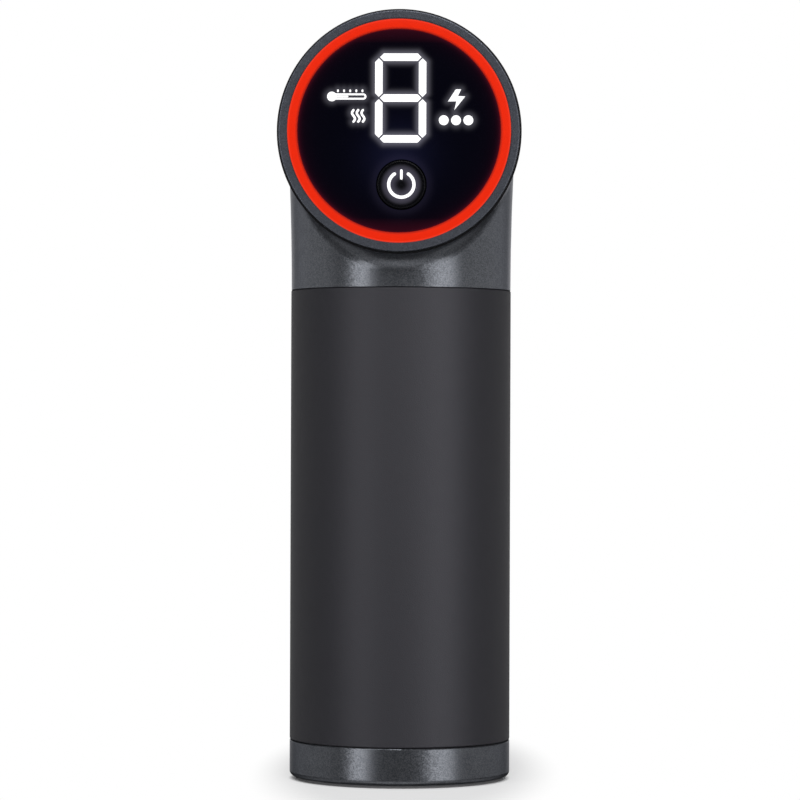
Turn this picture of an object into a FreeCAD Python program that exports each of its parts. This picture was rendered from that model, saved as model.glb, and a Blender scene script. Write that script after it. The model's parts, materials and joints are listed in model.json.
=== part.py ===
import FreeCAD, Part
import math
import os
import re
import Sketcher

# A hand-held hot and cold percussion massager. The origin is the centre of the base,
# +Z runs up the handle, the display end looks along -Y and the hot/cold head along +Y.

Vector = FreeCAD.Vector
document = FreeCAD.newDocument("TherapyMachine")
sheet = document.addObject("Spreadsheet::Sheet", "Sizes")
pieces = []

# Driving dimensions in millimetres: alias, value, meaning.
SIZES = [
    # fits and gaps
    ("bond_gap", 0.05, "between seated or bonded pieces of one body"),
    ("seam_gap", 0.1, "between visible neighbours of one body"),
    ("moving_gap", 0.3, "between pieces that move past each other"),
    ("running_fit", 0.04, "radial clearance of a shaft in its bush"),
    # handle and housing
    ("sleeve_wall", 1.8, "silicone sleeve and the wall of the cap"),
    ("housing_wall", 2.2, "wall of the handle tube and the barrel"),
    ("cap_top", 8.9, "height of the seam between cap and sleeve"),
    ("neck_step", 0.07, "neck inside the sleeve's outside"),
    ("neck_rise", 33.7, "seam between sleeve and neck to the barrel's axis"),
    ("neck_flare", 0.97, "widening of the neck where it has run into the barrel"),
    ("barrel_margin", 0.4, "barrel outside the widened neck"),
    ("barrel_blend", 4.3, "fillet between barrel and neck"),
    ("face_reach", 33.2, "display face to the handle's axis"),
    ("barrel_rear_reach", 36.0, "far end of the barrel shell to the handle's axis"),
    ("flange_start", 22.0, "inner flange of the barrel to the handle's axis"),
    ("flange_thickness", 3.0, "inner flange of the barrel"),
    ("flange_width", 6.1, "inner flange inwards from the barrel's bore"),
    ("flange_screw_inset", 3.0, "screws in the flange inwards from the barrel's bore"),
    ("boss_radius", 2.8, "screw bosses in the foot of the handle tube"),
    ("boss_inset", 2.35, "middle of a boss inwards from the tube's bore"),
    ("boss_length", 20.0, "length of the bosses"),
    # bottom
    ("foot_drop", 0.6, "foot below the cap"),
    ("foot_recess", 1.0, "how deep the foot sits in the cap"),
    ("foot_margin", 1.4, "cap around the foot"),
    ("cap_floor", 3.2, "floor of the cap"),
    ("cap_edge", 1.2, "rounding of the cap's lower edge"),
    ("cap_screw_length", 11.0, "shank of a cap screw"),
    # screws
    ("screw_radius", 1.25, "shank of a small screw"),
    ("screw_head_radius", 2.1, "head of a small screw"),
    ("screw_head", 1.1, "height of a screw's head"),
    ("socket_radius", 1.1, "corner radius of the hexagon socket in a head"),
    ("socket_depth", 0.7, "depth of the socket in a head"),
    # charge socket
    ("port_width", 8.94, "USB-C receptacle across"),
    ("port_thickness", 3.2, "USB-C receptacle through"),
    ("port_length", 7.3, "USB-C receptacle along its plug"),
    ("port_wall", 0.3, "shell of the receptacle"),
    ("port_offset", 7.0, "receptacle from the handle's axis"),
    ("port_play", 0.25, "slot of cap and foot around the receptacle"),
    ("port_recess", 0.4, "receptacle's mouth above the cap's lower face"),
    ("board_thickness", 1.2, "charge board"),
    ("charge_board_play", 1.95, "charge board inside the screw bosses"),
    # cells
    ("cell_radius", 9.2, "one wrapped cell"),
    ("cell_length", 65.0, "one wrapped cell"),
    ("cell_spacing", 0.22, "between two cells"),
    ("cell_play", 0.1, "around a cell in its holder"),
    ("cell_base", 20.4, "height of the cells' lower ends"),
    ("cell_contact_radius", 3.2, "raised contact on a cell"),
    ("cell_contact", 0.5, "height of the raised contact"),
    ("holder_wall", 0.7, "cell holders outside the cells"),
    ("holder_play", 0.2, "cell holders in the tube's bore"),
    ("holder_grip", 3.0, "how far a holder takes in the cells"),
    ("holder_floor", 3.6, "solid part of a cell holder"),
    ("strap_thickness", 0.3, "nickel straps"),
    ("strap_width", 6.0, "nickel straps"),
    ("leg_radius", 1.8, "legs of the lower holder"),
    ("leg_inset", 4.05, "middle of a leg inwards from the tube's bore"),
    ("stud_radius", 1.6, "studs that hold the charge board down"),
    ("stud_circle", 9.0, "circle of the studs"),
    ("post_radius", 2.2, "posts below the driver board"),
    ("post_inset", 5.95, "middle of a post inwards from the tube's bore"),
    ("post_height", 8.0, "posts below the driver board"),
    ("wire_radius", 0.6, "one insulated lead"),
    ("lead_spread", 6.0, "battery leads from the handle's axis"),
    # driver board
    ("driver_board_play", 1.15, "driver board inside the tube's bore"),
    ("driver_board", 1.6, "thickness of the driver board"),
    ("switch_across", 5.0, "power switches on the driver board"),
    ("switch_along", 4.4, "power switches on the driver board"),
    ("switch_columns", 7.0, "between two columns of power switches"),
    ("switch_rows", 5.6, "between the two rows of power switches"),
    ("switch_bank", 5.4, "middle of the power switches behind the handle's axis"),
    ("controller_side", 6.4, "controller chip"),
    ("chip_height", 1.0, "power switches and the controller chip"),
    ("can_radius", 2.4, "capacitors on the driver board"),
    ("can_height", 3.6, "capacitors on the driver board"),
    ("can_across", 8.0, "capacitors from the middle plane"),
    ("can_front", 9.0, "capacitors before the handle's axis"),
    ("cable_width", 8.0, "flat cable to the display"),
    ("cable_thickness", 0.3, "flat cable to the display"),
    ("cable_inset", 2.05, "cable inwards from the tube's bore"),
    ("cable_bend_low", 23.0, "start of the cable's slant below the barrel's axis"),
    ("cable_bend_high", 18.0, "end of the cable's slant below the barrel's axis"),
    ("cable_socket_width", 9.0, "sockets of the flat cable"),
    ("cable_socket_depth", 2.0, "socket on the driver board"),
    ("cable_socket_height", 2.2, "socket on the driver board"),
    ("display_socket_height", 3.5, "socket on the display board"),
    ("display_socket_depth", 1.5, "socket on the display board"),
    ("display_socket_drop", 15.0, "its lower edge below the barrel's axis"),
    # display end
    ("bezel_overhang", 0.3, "bezel outside the barrel"),
    ("bezel_rim", 2.1, "face of the bezel"),
    ("bezel_depth", 2.7, "visible length of the bezel"),
    ("bezel_edge", 0.7, "rounding of the bezel's outer front edge"),
    ("ring_width", 2.45, "face of the light ring with its seam"),
    ("ring_recess", 0.25, "ring and lens behind the bezel's face"),
    ("ring_flange", 1.5, "thickness of the light ring's face"),
    ("ring_skirt", 1.15, "wall of the light ring's skirt"),
    ("skirt_gap", 0.8, "light ring's skirt to the display board"),
    ("bezel_skirt", 1.0, "wall of the bezel's skirt"),
    ("lens_thickness", 1.2, "display lens"),
    ("lens_edge", 0.3, "chamfer of the lens"),
    ("carrier_depth", 6.8, "display carrier, lens to board"),
    ("carrier_wall", 1.4, "walls of the display carrier"),
    ("carrier_boss_radius", 2.4, "bosses of the carrier"),
    ("carrier_boss_offset", 12.5, "bosses of the carrier from its two middle lines"),
    ("display_board", 1.6, "thickness of the display board"),
    ("display_screw_length", 5.0, "shank of a display screw"),
    # figures
    ("digit_across", 0.34, "centre of the digit, to the right"),
    ("digit_up", 7.1, "centre of the digit above the barrel's axis"),
    ("digit_columns", 9.6, "between the digit's upright strokes"),
    ("digit_rows", 8.9, "between the digit's level strokes"),
    ("stroke_width", 1.74, "width of a stroke"),
    ("stroke_break", 0.28, "break between two strokes"),
    ("digit_border", 1.7, "shaft block of the carrier around the strokes"),
    ("thermometer_across", -11.45, "window of the thermometer, to the right"),
    ("thermometer_up", 7.6, "window of the thermometer, above the barrel's axis"),
    ("thermometer_width", 8.8, "window of the thermometer"),
    ("thermometer_height", 2.8, "window of the thermometer"),
    ("waves_across", -8.9, "window of the heat waves"),
    ("waves_up", 3.1, "window of the heat waves"),
    ("waves_width", 3.6, "window of the heat waves"),
    ("waves_height", 3.4, "window of the heat waves"),
    ("bolt_across", 12.5, "window of the bolt"),
    ("bolt_up", 6.8, "window of the bolt"),
    ("bolt_width", 4.0, "window of the bolt"),
    ("bolt_height", 4.8, "window of the bolt"),
    ("dots_across", 12.46, "window of the three dots"),
    ("dots_up", 2.2, "window of the three dots"),
    ("dots_width", 8.0, "window of the three dots"),
    ("dots_height", 2.6, "window of the three dots"),
    ("lamp_gap", 0.3, "diffusers above their lamps"),
    ("lamp_length", 1.6, "one lamp"),
    ("lamp_width", 0.8, "one lamp"),
    ("lamp_height", 0.6, "one lamp"),
    ("ring_lamps", 12.0, "lamps under the light ring"),
    # power button
    ("button_across", 0.55, "centre of the button, to the right"),
    ("button_inset", 10.25, "centre of the button inwards from the ring's inner edge"),
    ("button_radius", 5.25, "button in the lens"),
    ("button_travel", 0.5, "stroke of the button"),
    ("button_rim", 0.6, "raised rim of the button"),
    ("button_dish", 0.35, "depth of the button's middle"),
    ("button_flange", 1.15, "flange of the button around it"),
    ("button_flange_depth", 0.7, "thickness of the button's flange"),
    ("button_stem_radius", 2.0, "stem of the button"),
    ("button_stem", 1.9, "length of the stem"),
    ("switch_side", 6.0, "tact switch"),
    ("switch_height", 2.7, "tact switch"),
    ("switch_floor", 0.3, "floor of the tact switch"),
    ("switch_plunger_radius", 1.6, "plunger of the tact switch"),
    # drive
    ("crank_throw", 4.0, "crank pin from the motor's axis"),
    ("crank_pin_radius", 2.5, "crank pin"),
    ("roller_radius", 4.0, "bearing on the crank pin"),
    ("open_pivot", 0.9, "clearance of the roller along the stroke"),
    ("crank_radius", 14.0, "counterweight of the crank"),
    ("crank_hub_radius", 9.0, "hub of the crank"),
    ("crank_thickness", 5.0, "crank"),
    ("crank_under", 7.4, "top of the crank below the barrel's axis"),
    ("crank_bore_depth", 4.2, "motor shaft in the crank"),
    ("crank_shoulder", 0.6, "seat of the bearing around the pin"),
    ("pin_end", 0.2, "pin above its clip"),
    ("clip_thickness", 0.6, "clip on the crank pin"),
    ("clip_radius", 3.6, "clip on the crank pin"),
    ("yoke_half_height", 4.0, "yoke above and below the barrel's axis"),
    ("yoke_side", 2.6, "yoke beside its slot"),
    ("yoke_wall", 3.1, "yoke before and behind its slot"),
    ("yoke_boss_radius", 5.45, "yoke's boss in the plunger tube"),
    ("yoke_boss", 12.0, "length of the yoke's boss"),
    ("yoke_pin_radius", 1.2, "cross pin of yoke and plunger"),
    ("yoke_pin_setback", 2.6, "cross pin from the yoke's front"),
    ("plunger_radius", 7.0, "plunger tube"),
    ("plunger_wall", 1.5, "wall of the plunger tube"),
    ("plunger_front", 45.2, "front end of the plunger tube"),
    ("bush_wall", 1.9, "wall of a plunger bush"),
    ("bush_length", 7.0, "length of the rear bush"),
    ("bulkhead_thickness", 4.0, "upright plate of the drive bracket"),
    ("bulkhead_play", 0.3, "upright plate inside the barrel's bore"),
    ("bulkhead_boss_radius", 11.6, "boss around the rear bush"),
    ("bulkhead_boss", 3.0, "boss in front of the upright plate"),
    ("deck_front", 17.0, "deck's edge towards the display"),
    ("deck_under", 14.4, "top of the deck below the barrel's axis"),
    ("deck_thickness", 3.0, "deck of the drive bracket"),
    ("gusset_width", 1.6, "gussets of the drive bracket"),
    ("gusset_reach", 12.0, "gussets along the deck"),
    ("gusset_rise", 9.0, "gussets up the plate"),
    # motor
    ("shaft_radius", 2.5, "motor shaft"),
    ("motor_base_radius", 16.0, "flange of the motor base"),
    ("motor_base", 3.0, "flange of the motor base"),
    ("bearing_radius", 5.0, "motor bearings"),
    ("bearing_width", 3.0, "motor bearings"),
    ("bearing_tube_wall", 2.0, "tube around the bearings"),
    ("bearing_tube", 16.0, "tube below the flange"),
    ("stator_radius", 15.0, "stator"),
    ("stator_height", 10.0, "stator"),
    ("stator_drop", 2.6, "stator below the flange"),
    ("stator_core", 2.6, "ring of the stator"),
    ("tooth_width", 2.2, "stator tooth"),
    ("teeth", 12.0, "stator teeth"),
    ("coil_width", 1.0, "winding beside and over a tooth"),
    ("coil_length", 3.2, "winding along a tooth"),
    ("magnet_gap", 0.4, "magnets to stator"),
    ("magnet_thickness", 1.15, "magnets"),
    ("magnet_width", 5.2, "magnets"),
    ("magnets", 14.0, "magnets in the bell"),
    ("bell_radius", 18.0, "rotor bell"),
    ("bell_wall", 1.1, "wall of the bell"),
    ("bell_drop", 2.0, "bell below the flange"),
    ("bell_floor", 2.0, "floor of the bell"),
    ("bell_hub_radius", 5.0, "hub in the bell"),
    ("bell_hub", 1.3, "height of the hub in the bell"),
    ("bell_headroom", 1.35, "bell above the capacitors of the driver board"),
    ("motor_screw_circle", 10.2, "circle of the motor screws"),
    ("motor_lead_inset", 1.55, "motor leads inwards from the tube's bore"),
    ("motor_lead_angle", 12.0, "degrees between motor leads"),
    ("lead_bend", 1.5, "bend of a motor lead"),
    # front end
    ("nose_plate", 4.0, "front plate of the nose collar"),
    ("nose_edge", 1.6, "rounding of the nose collar"),
    ("nose_tube_wall", 4.6, "tube of the nose collar"),
    ("nose_boss_radius", 11.4, "boss around the front bush"),
    ("nose_boss", 10.0, "length of that boss"),
    ("seal_width", 1.8, "wiping seal"),
    ("seal_recess", 1.2, "recess of the seal"),
    ("seal_proud", 0.6, "seal in front of the collar"),
    ("nose_screw_sink", 2.2, "counterbores of the nose screws"),
    # hot and cold head
    ("head_radius", 19.0, "head body"),
    ("head_wall", 1.7, "wall of the head body"),
    ("head_rear", 45.5, "rear face of the head body"),
    ("head_rear_wall", 2.0, "rear wall of the head body"),
    ("head_length", 21.5, "head body"),
    ("head_edge", 1.5, "rounding of the rear edge"),
    ("stem_radius", 5.4, "stem in the plunger tube"),
    ("stem_length", 14.0, "stem behind the head's rear face"),
    ("stem_ring_place", 8.0, "snap ring behind the head's rear face"),
    ("stem_ring_width", 1.6, "snap ring"),
    ("stem_ring_depth", 0.8, "groove of the snap ring"),
    ("contact_radius", 0.5, "contact pins"),
    ("contact_spread", 1.5, "contact pins from the axis"),
    ("contact_reach", 3.0, "contact pins behind the stem"),
    ("contact_block", 4.0, "contact block in the plunger"),
    ("vents", 12.0, "vent slots in the head body"),
    ("vent_start", 2.4, "vent slots in front of the rear wall"),
    ("vent_width", 2.4, "vent slots"),
    ("vent_length", 8.0, "vent slots"),
    ("fan_ring_wall", 0.9, "ring of the fan frame"),
    ("fan_depth", 6.5, "fan frame"),
    ("fan_hub_radius", 4.6, "hub of the fan frame"),
    ("fan_plate", 1.4, "spokes and hub plate of the fan frame"),
    ("spoke_width", 1.6, "spokes of the fan frame"),
    ("fan_shaft_radius", 1.0, "shaft of the fan"),
    ("blade_gap", 0.95, "fan blades inside the fan frame"),
    ("blade_thickness", 0.7, "fan blades"),
    ("blade_depth", 3.6, "fan blades"),
    ("blades", 7.0, "fan blades"),
    ("sink_base", 2.6, "heat sink's plate"),
    ("fin_height", 4.4, "heat sink's fins"),
    ("fin_thickness", 0.8, "heat sink's fins"),
    ("fin_pitch", 3.2, "heat sink's fins"),
    ("fin_inset", 2.0, "outermost fins inside the heat sink's edge"),
    ("peltier_side", 20.0, "thermoelectric module"),
    ("peltier_thickness", 3.2, "thermoelectric module"),
    ("plate_thickness", 2.4, "contact plate"),
    ("plate_crown", 2.2, "crown of the contact plate"),
    ("plate_edge", 0.8, "rounding of the contact plate"),
]


def fill_sheet():
    for row, (alias, number, meaning) in enumerate(SIZES, start=1):
        sheet.set("A%d" % row, alias)
        sheet.set("B%d" % row, str(number))
        sheet.setAlias("B%d" % row, alias)
        sheet.set("C%d" % row, meaning)
    document.recompute()


fill_sheet()
ALIASES = {alias for alias, number, meaning in SIZES}


# ---------------------------------------------------------------- helpers


def linked(formula):
    """The formula with each alias written as a reference to the sheet."""
    return re.sub(
        r"[a-z_]+",
        lambda word: "Sizes." + word.group(0) if word.group(0) in ALIASES else word.group(0),
        formula,
    )


def value(formula):
    """The formula's number with the sheet's present sizes."""
    return float(sheet.evalExpression(linked(formula)))


def bind(thing, name, formula):
    """Set one property from a formula and keep it bound to the sheet."""
    if any(word in ALIASES for word in re.findall(r"[a-z_]+", formula)):
        thing.setExpression(name, linked(formula))


def circle(across, up, radius):
    return {"centre": (across, up), "radius": radius}


def ring(outer, inner, across="0", up="0"):
    return [circle(across, up, outer), circle(across, up, inner)]


def box(across, up, width, height):
    """Four corners of a rectangle about a centre."""
    left = "%s - (%s)/2" % (across, width)
    right = "%s + (%s)/2" % (across, width)
    low = "%s - (%s)/2" % (up, height)
    high = "%s + (%s)/2" % (up, height)
    return [(left, low), (right, low), (right, high), (left, high)]


def rounded_box(across, up, width, height, radius):
    """A rectangle about a centre with four round corners."""
    left = "%s - (%s)/2" % (across, width)
    right = "%s + (%s)/2" % (across, width)
    low = "%s - (%s)/2" % (up, height)
    high = "%s + (%s)/2" % (up, height)
    inset = "(%s)" % radius
    return [
        (left + " + " + inset, low),
        (right + " - " + inset, low, radius, "left"),
        (right, low + " + " + inset),
        (right, high + " - " + inset, radius, "left"),
        (right + " - " + inset, high),
        (left + " + " + inset, high, radius, "left"),
        (left, high + " - " + inset),
        (left, low + " + " + inset, radius, "left"),
    ]


def bar(across, up, length, width, upright):
    """A six-cornered stroke with pointed ends."""
    half = "(%s)/2" % length
    side = "(%s)/2" % width
    corners = [
        ("-" + half, "0"),
        ("-%s + %s" % (half, side), "-" + side),
        ("%s - %s" % (half, side), "-" + side),
        (half, "0"),
        ("%s - %s" % (half, side), side),
        ("-%s + %s" % (half, side), side),
    ]
    if upright:
        corners = [(y, "-(%s)" % x) for x, y in corners]
    return [("%s + (%s)" % (across, x), "%s + (%s)" % (up, y)) for x, y in corners]


def arc_centre(start, end, radius, side):
    chord = end - start
    rise = math.sqrt(max(radius**2 - (chord.Length / 2) ** 2, 0.0))
    normal = Vector(-chord.y, chord.x, 0).normalize()
    sign = 1 if side == "left" else -1
    return (start + end) * 0.5 + normal * rise * sign


def add_circle(sketch, loop):
    across, up = loop["centre"]
    centre = Vector(value(across), value(up), 0)
    index = sketch.addGeometry(Part.Circle(centre, Vector(0, 0, 1), value(loop["radius"])), False)
    for kind, formula, number in (("DistanceX", across, centre.x), ("DistanceY", up, centre.y)):
        place = sketch.addConstraint(Sketcher.Constraint(kind, -1, 1, index, 3, number))
        bind(sketch, "Constraints[%d]" % place, formula)
    size = sketch.addConstraint(Sketcher.Constraint("Radius", index, value(loop["radius"])))
    bind(sketch, "Constraints[%d]" % size, loop["radius"])


def add_outline(sketch, points):
    """A closed outline. A point with a radius and a side begins an arc."""
    corners = [Vector(value(point[0]), value(point[1]), 0) for point in points]
    starts = []
    ends = []
    for number, point in enumerate(points):
        start = corners[number]
        end = corners[(number + 1) % len(points)]
        if len(point) == 2:
            starts.append((sketch.addGeometry(Part.LineSegment(start, end), False), 1))
            ends.append((starts[-1][0], 2))
            continue
        radius = value(point[2])
        centre = arc_centre(start, end, radius, point[3])
        first, last = (start, end) if point[3] == "left" else (end, start)
        angles = [math.atan2(spot.y - centre.y, spot.x - centre.x) for spot in (first, last)]
        whole = Part.Circle(centre, Vector(0, 0, 1), radius)
        arc = sketch.addGeometry(Part.ArcOfCircle(whole, angles[0], angles[1]), False)
        starts.append((arc, 1 if point[3] == "left" else 2))
        ends.append((arc, 2 if point[3] == "left" else 1))
        size = sketch.addConstraint(Sketcher.Constraint("Radius", arc, radius))
        bind(sketch, "Constraints[%d]" % size, point[2])
    for number, point in enumerate(points):
        joined = starts[(number + 1) % len(points)]
        sketch.addConstraint(Sketcher.Constraint("Coincident", *ends[number], *joined))
        spot = corners[number]
        for kind, formula, number_now in (
            ("DistanceX", point[0], spot.x),
            ("DistanceY", point[1], spot.y),
        ):
            rule = Sketcher.Constraint(kind, -1, 1, *starts[number], number_now)
            bind(sketch, "Constraints[%d]" % sketch.addConstraint(rule), formula)


class Piece:
    """One sub-part: a body whose sketches lie on its own origin planes."""

    def __init__(self, label):
        self.body = document.addObject("PartDesign::Body", label)
        self.body.Label = label
        self.body.AllowCompound = True
        pieces.append(self.body)

    def origin(self, role):
        return next(item for item in self.body.Origin.OriginFeatures if item.Role == role)

    def at(self, **places):
        for axis, formula in places.items():
            setattr(self.body.Placement.Base, axis, value(formula))
            bind(self.body, "Placement.Base." + axis, formula)
        return self

    def sketch(self, plane, loops, start="0"):
        """A sketch on plane XY, XZ or YZ, moved to start along +Z, +Y or +X."""
        sketch = self.body.newObject("Sketcher::SketchObject", "Outline")
        sketch.AttachmentSupport = [(self.origin(plane + "_Plane"), "")]
        sketch.MapMode = "FlatFace"
        offset = "-(%s)" % start if plane == "XZ" else start
        sketch.AttachmentOffset = FreeCAD.Placement(Vector(0, 0, value(offset)), FreeCAD.Rotation())
        bind(sketch, "AttachmentOffset.Base.z", offset)
        for loop in loops:
            if isinstance(loop, dict):
                add_circle(sketch, loop)
            else:
                add_outline(sketch, loop)
        return sketch

    def feature(self, kind, sketch):
        before = self.body.Shape.Volume if self.body.Tip else 0.0
        feature = self.body.newObject("PartDesign::" + kind, kind)
        feature.Profile = sketch
        return feature, before

    def settle(self, feature, before, grows):
        document.recompute()
        change = self.body.Shape.Volume - before
        if not feature.isValid() or (change > 1e-6) is not grows:
            raise RuntimeError("%s: volume changed by %g" % (feature.Label, change))
        return feature

    def pad(self, plane, loops, start, length):
        """Add the loops from start over length, along +Z, +Y or +X."""
        feature, before = self.feature("Pad", self.sketch(plane, loops, start))
        feature.Length = value(length)
        bind(feature, "Length", length)
        feature.Reversed = plane == "XZ"
        return self.settle(feature, before, True)

    def pocket(self, plane, loops, start, length):
        """Cut the loops from start over length, along +Z, +Y or +X."""
        feature, before = self.feature("Pocket", self.sketch(plane, loops, start))
        feature.Length = value(length)
        bind(feature, "Length", length)
        feature.Reversed = plane != "XZ"
        return self.settle(feature, before, False)

    def turn(self, axis, points):
        """Add an outline turned about Z or Y; its points are (radius, place along the axis)."""
        plane = {"Z": "XZ", "Y": "XY"}[axis]
        sketch = self.sketch(plane, [points])
        feature, before = self.feature("Revolution", sketch)
        feature.ReferenceAxis = (sketch, ["V_Axis"])
        feature.Angle = 360
        return self.settle(feature, before, True)

    def groove(self, axis, points):
        """Cut an outline turned about Z or Y."""
        plane = {"Z": "XZ", "Y": "XY"}[axis]
        sketch = self.sketch(plane, [points])
        feature, before = self.feature("Groove", sketch)
        feature.ReferenceAxis = (sketch, ["V_Axis"])
        feature.Angle = 360
        return self.settle(feature, before, False)

    def repeat(self, features, axis, count):
        """Repeat features evenly about one of the body's own axes."""
        pattern = self.body.newObject("PartDesign::PolarPattern", "Pattern")
        pattern.Originals = features
        pattern.Axis = (self.origin(axis + "_Axis"), [""])
        pattern.Angle = 360
        pattern.Occurrences = int(value(count))
        bind(pattern, "Occurrences", count)
        self.body.Tip = pattern
        document.recompute()
        return pattern

    def soften(self, kind, size, choose):
        """Fillet or chamfer the edges that choose picks."""
        base = self.body.Tip
        names = []
        for number, edge in enumerate(base.Shape.Edges, start=1):
            if choose(edge):
                names.append("Edge%d" % number)
        if not names:
            raise RuntimeError("%s: no edge to soften" % self.body.Label)
        feature = self.body.newObject("PartDesign::" + kind, kind)
        feature.Base = (base, names)
        amount = "Radius" if kind == "Fillet" else "Size"
        setattr(feature, amount, value(size))
        bind(feature, amount, size)
        document.recompute()
        if not feature.isValid():
            raise RuntimeError("%s: %s failed" % (self.body.Label, kind))
        return feature


def is_circle(edge, radius, place=None, axis="z"):
    """True for a full circle of this radius, at this place along an axis of the body."""
    if not isinstance(edge.Curve, Part.Circle) or abs(edge.Curve.Radius - value(radius)) > 1e-4:
        return False
    return place is None or abs(getattr(edge.Curve.Center, axis) - value(place)) < 1e-4


def about(radius, degrees):
    """Formulas of a point at this radius and angle."""
    return "(%s)*cos(%g)" % (radius, degrees), "(%s)*sin(%g)" % (radius, degrees)


def add_screws(label, plane, spots, head, length, towards):
    """A group of socket screws. The head's seat is at head, and the shank runs towards +1 or -1."""
    screws = Piece(label)
    heads = [circle(x, y, "screw_head_radius") for x, y in spots]
    shanks = [circle(x, y, "screw_radius") for x, y in spots]
    sockets = [hexagon(x, y, "socket_radius") for x, y in spots]
    if towards > 0:
        screws.pad(plane, heads, "%s - screw_head" % head, "screw_head")
        screws.pad(plane, shanks, head, length)
        screws.pocket(plane, sockets, "%s - screw_head" % head, "socket_depth")
    else:
        screws.pad(plane, heads, head, "screw_head")
        screws.pad(plane, shanks, "%s - (%s)" % (head, length), length)
        screws.pocket(plane, sockets, "%s + screw_head - socket_depth" % head, "socket_depth")
    return screws


def hexagon(across, up, radius):
    corners = [about(radius, 60 * number) for number in range(6)]
    return [("%s + %s" % (across, x), "%s + %s" % (up, y)) for x, y in corners]


# ---------------------------------------------------------------- places shared by several pieces

# heights above the base
CELL_CIRCLE = "((2*cell_radius + cell_spacing)/sqrt(3))"
HOLDER_RADIUS = "(%s + cell_radius + cell_play + holder_wall)" % CELL_CIRCLE
TUBE_BORE = "(%s + holder_play)" % HOLDER_RADIUS
TUBE_OUTER = "(%s + housing_wall)" % TUBE_BORE
SLEEVE_INNER = "(%s + bond_gap)" % TUBE_OUTER
GRIP_RADIUS = "(%s + sleeve_wall)" % SLEEVE_INNER
BOSS_CIRCLE = "(%s - boss_inset)" % TUBE_BORE
LEG_CIRCLE = "(%s - leg_inset)" % TUBE_BORE
POST_CIRCLE = "(%s - post_inset)" % TUBE_BORE
CHARGE_BOARD_RADIUS = "(%s - boss_radius - charge_board_play)" % BOSS_CIRCLE
DRIVER_BOARD_RADIUS = "(%s - driver_board_play)" % TUBE_BORE
CABLE_FRONT = "(%s - cable_inset)" % TUBE_BORE
MOTOR_LEADS = "(%s - motor_lead_inset)" % TUBE_BORE
FOOT_RADIUS = "(%s - foot_margin)" % GRIP_RADIUS
CAP_FLOOR_TOP = "(foot_drop + cap_floor)"
TUBE_BOTTOM = "(foot_drop + cap_floor + bond_gap)"
BOARD_BASE = "(foot_drop + port_recess + port_length + bond_gap)"
HOLDER_STRAP = "(cell_base - strap_thickness - bond_gap)"
LOWER_HOLDER_TOP = "(cell_base + holder_grip)"
LOWER_HOLDER_BASE = "(cell_base - strap_thickness - 2*bond_gap - holder_floor)"
UPPER_STRAP = "(cell_base + cell_length + cell_contact + bond_gap)"
UPPER_HOLDER_FLOOR = "(cell_base + cell_length + cell_contact + strap_thickness + 2*bond_gap)"
UPPER_HOLDER_TOP = "(%s + holder_floor)" % UPPER_HOLDER_FLOOR
DRIVER_BASE = "(%s + post_height + bond_gap)" % UPPER_HOLDER_TOP
DRIVER_TOP = "(%s + driver_board)" % DRIVER_BASE

# heights of the drive, counted from the barrel's axis
DECK_BASE = "(-deck_under - deck_thickness)"
MOTOR_TOP = "(%s - bond_gap)" % DECK_BASE
FLANGE_BASE = "(%s - motor_base)" % MOTOR_TOP
BELL_TOP = "(%s - bell_drop)" % FLANGE_BASE
STATOR_TOP = "(%s - stator_drop)" % FLANGE_BASE
STATOR_BASE = "(%s - stator_height)" % STATOR_TOP
TUBE_END = "(%s - bearing_tube)" % FLANGE_BASE
BELL_FLOOR = "(%s - moving_gap - bell_hub)" % TUBE_END
BELL_BASE = "(%s - bell_floor)" % BELL_FLOOR
CRANK_BASE = "(-crank_under - crank_thickness)"
BEARING_SEAT = "(bearing_radius + bond_gap)"
BEARING_TUBE = "(%s + bearing_tube_wall)" % BEARING_SEAT
CORE_INNER = "(%s + bond_gap)" % BEARING_TUBE
CORE_OUTER = "(%s + stator_core)" % CORE_INNER

# the barrel stands on what the handle holds: its axis and the seam below the neck
BARREL_AXIS = "(%s + bond_gap + can_height + bell_headroom - %s)" % (DRIVER_TOP, BELL_BASE)
NECK_BOTTOM = "(%s - neck_rise)" % BARREL_AXIS
NECK_RADIUS = "(%s - neck_step)" % GRIP_RADIUS
NECK_TOP_RADIUS = "(%s + neck_flare)" % NECK_RADIUS
BARREL_RADIUS = "(%s + barrel_margin)" % NECK_TOP_RADIUS

# places along the barrel, counted from the handle's axis, the display end negative
BARREL_BORE = "(%s - housing_wall)" % BARREL_RADIUS
FLANGE_BORE = "(%s - flange_width)" % BARREL_BORE
FLANGE_SCREWS = "(%s - flange_screw_inset)" % BARREL_BORE
BEZEL_RADIUS = "(%s + bezel_overhang)" % BARREL_RADIUS
RING_OUTER = "(%s - bezel_rim)" % BEZEL_RADIUS
RING_INNER = "(%s - ring_width)" % RING_OUTER
BARREL_FRONT = "(-face_reach + bezel_depth)"
FACE = "(-face_reach)"
RING_FRONT = "(-face_reach + ring_recess)"
RING_STEP = "(-face_reach + ring_recess + ring_flange)"
LENS_BACK = "(-face_reach + ring_recess + lens_thickness)"
CARRIER_FRONT = "(%s + bond_gap)" % LENS_BACK
CARRIER_BACK = "(%s + carrier_depth)" % CARRIER_FRONT
BOARD_FRONT = "(%s + bond_gap)" % CARRIER_BACK
BOARD_BACK = "(%s + display_board)" % BOARD_FRONT
SKIRT_OUTER = "(%s - bond_gap)" % BARREL_BORE
SKIRT_INNER = "(%s - bezel_skirt)" % SKIRT_OUTER
LIGHT_SKIRT_OUTER = "(%s - bond_gap)" % SKIRT_INNER
LIGHT_SKIRT_INNER = "(%s - ring_skirt)" % LIGHT_SKIRT_OUTER
BUTTON_DROP = "(%s - button_inset)" % RING_INNER
BUTTON_HEIGHT = "(%s - %s)" % (BARREL_AXIS, BUTTON_DROP)
BUTTON_FLANGE_FRONT = "(%s + moving_gap)" % LENS_BACK
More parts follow.
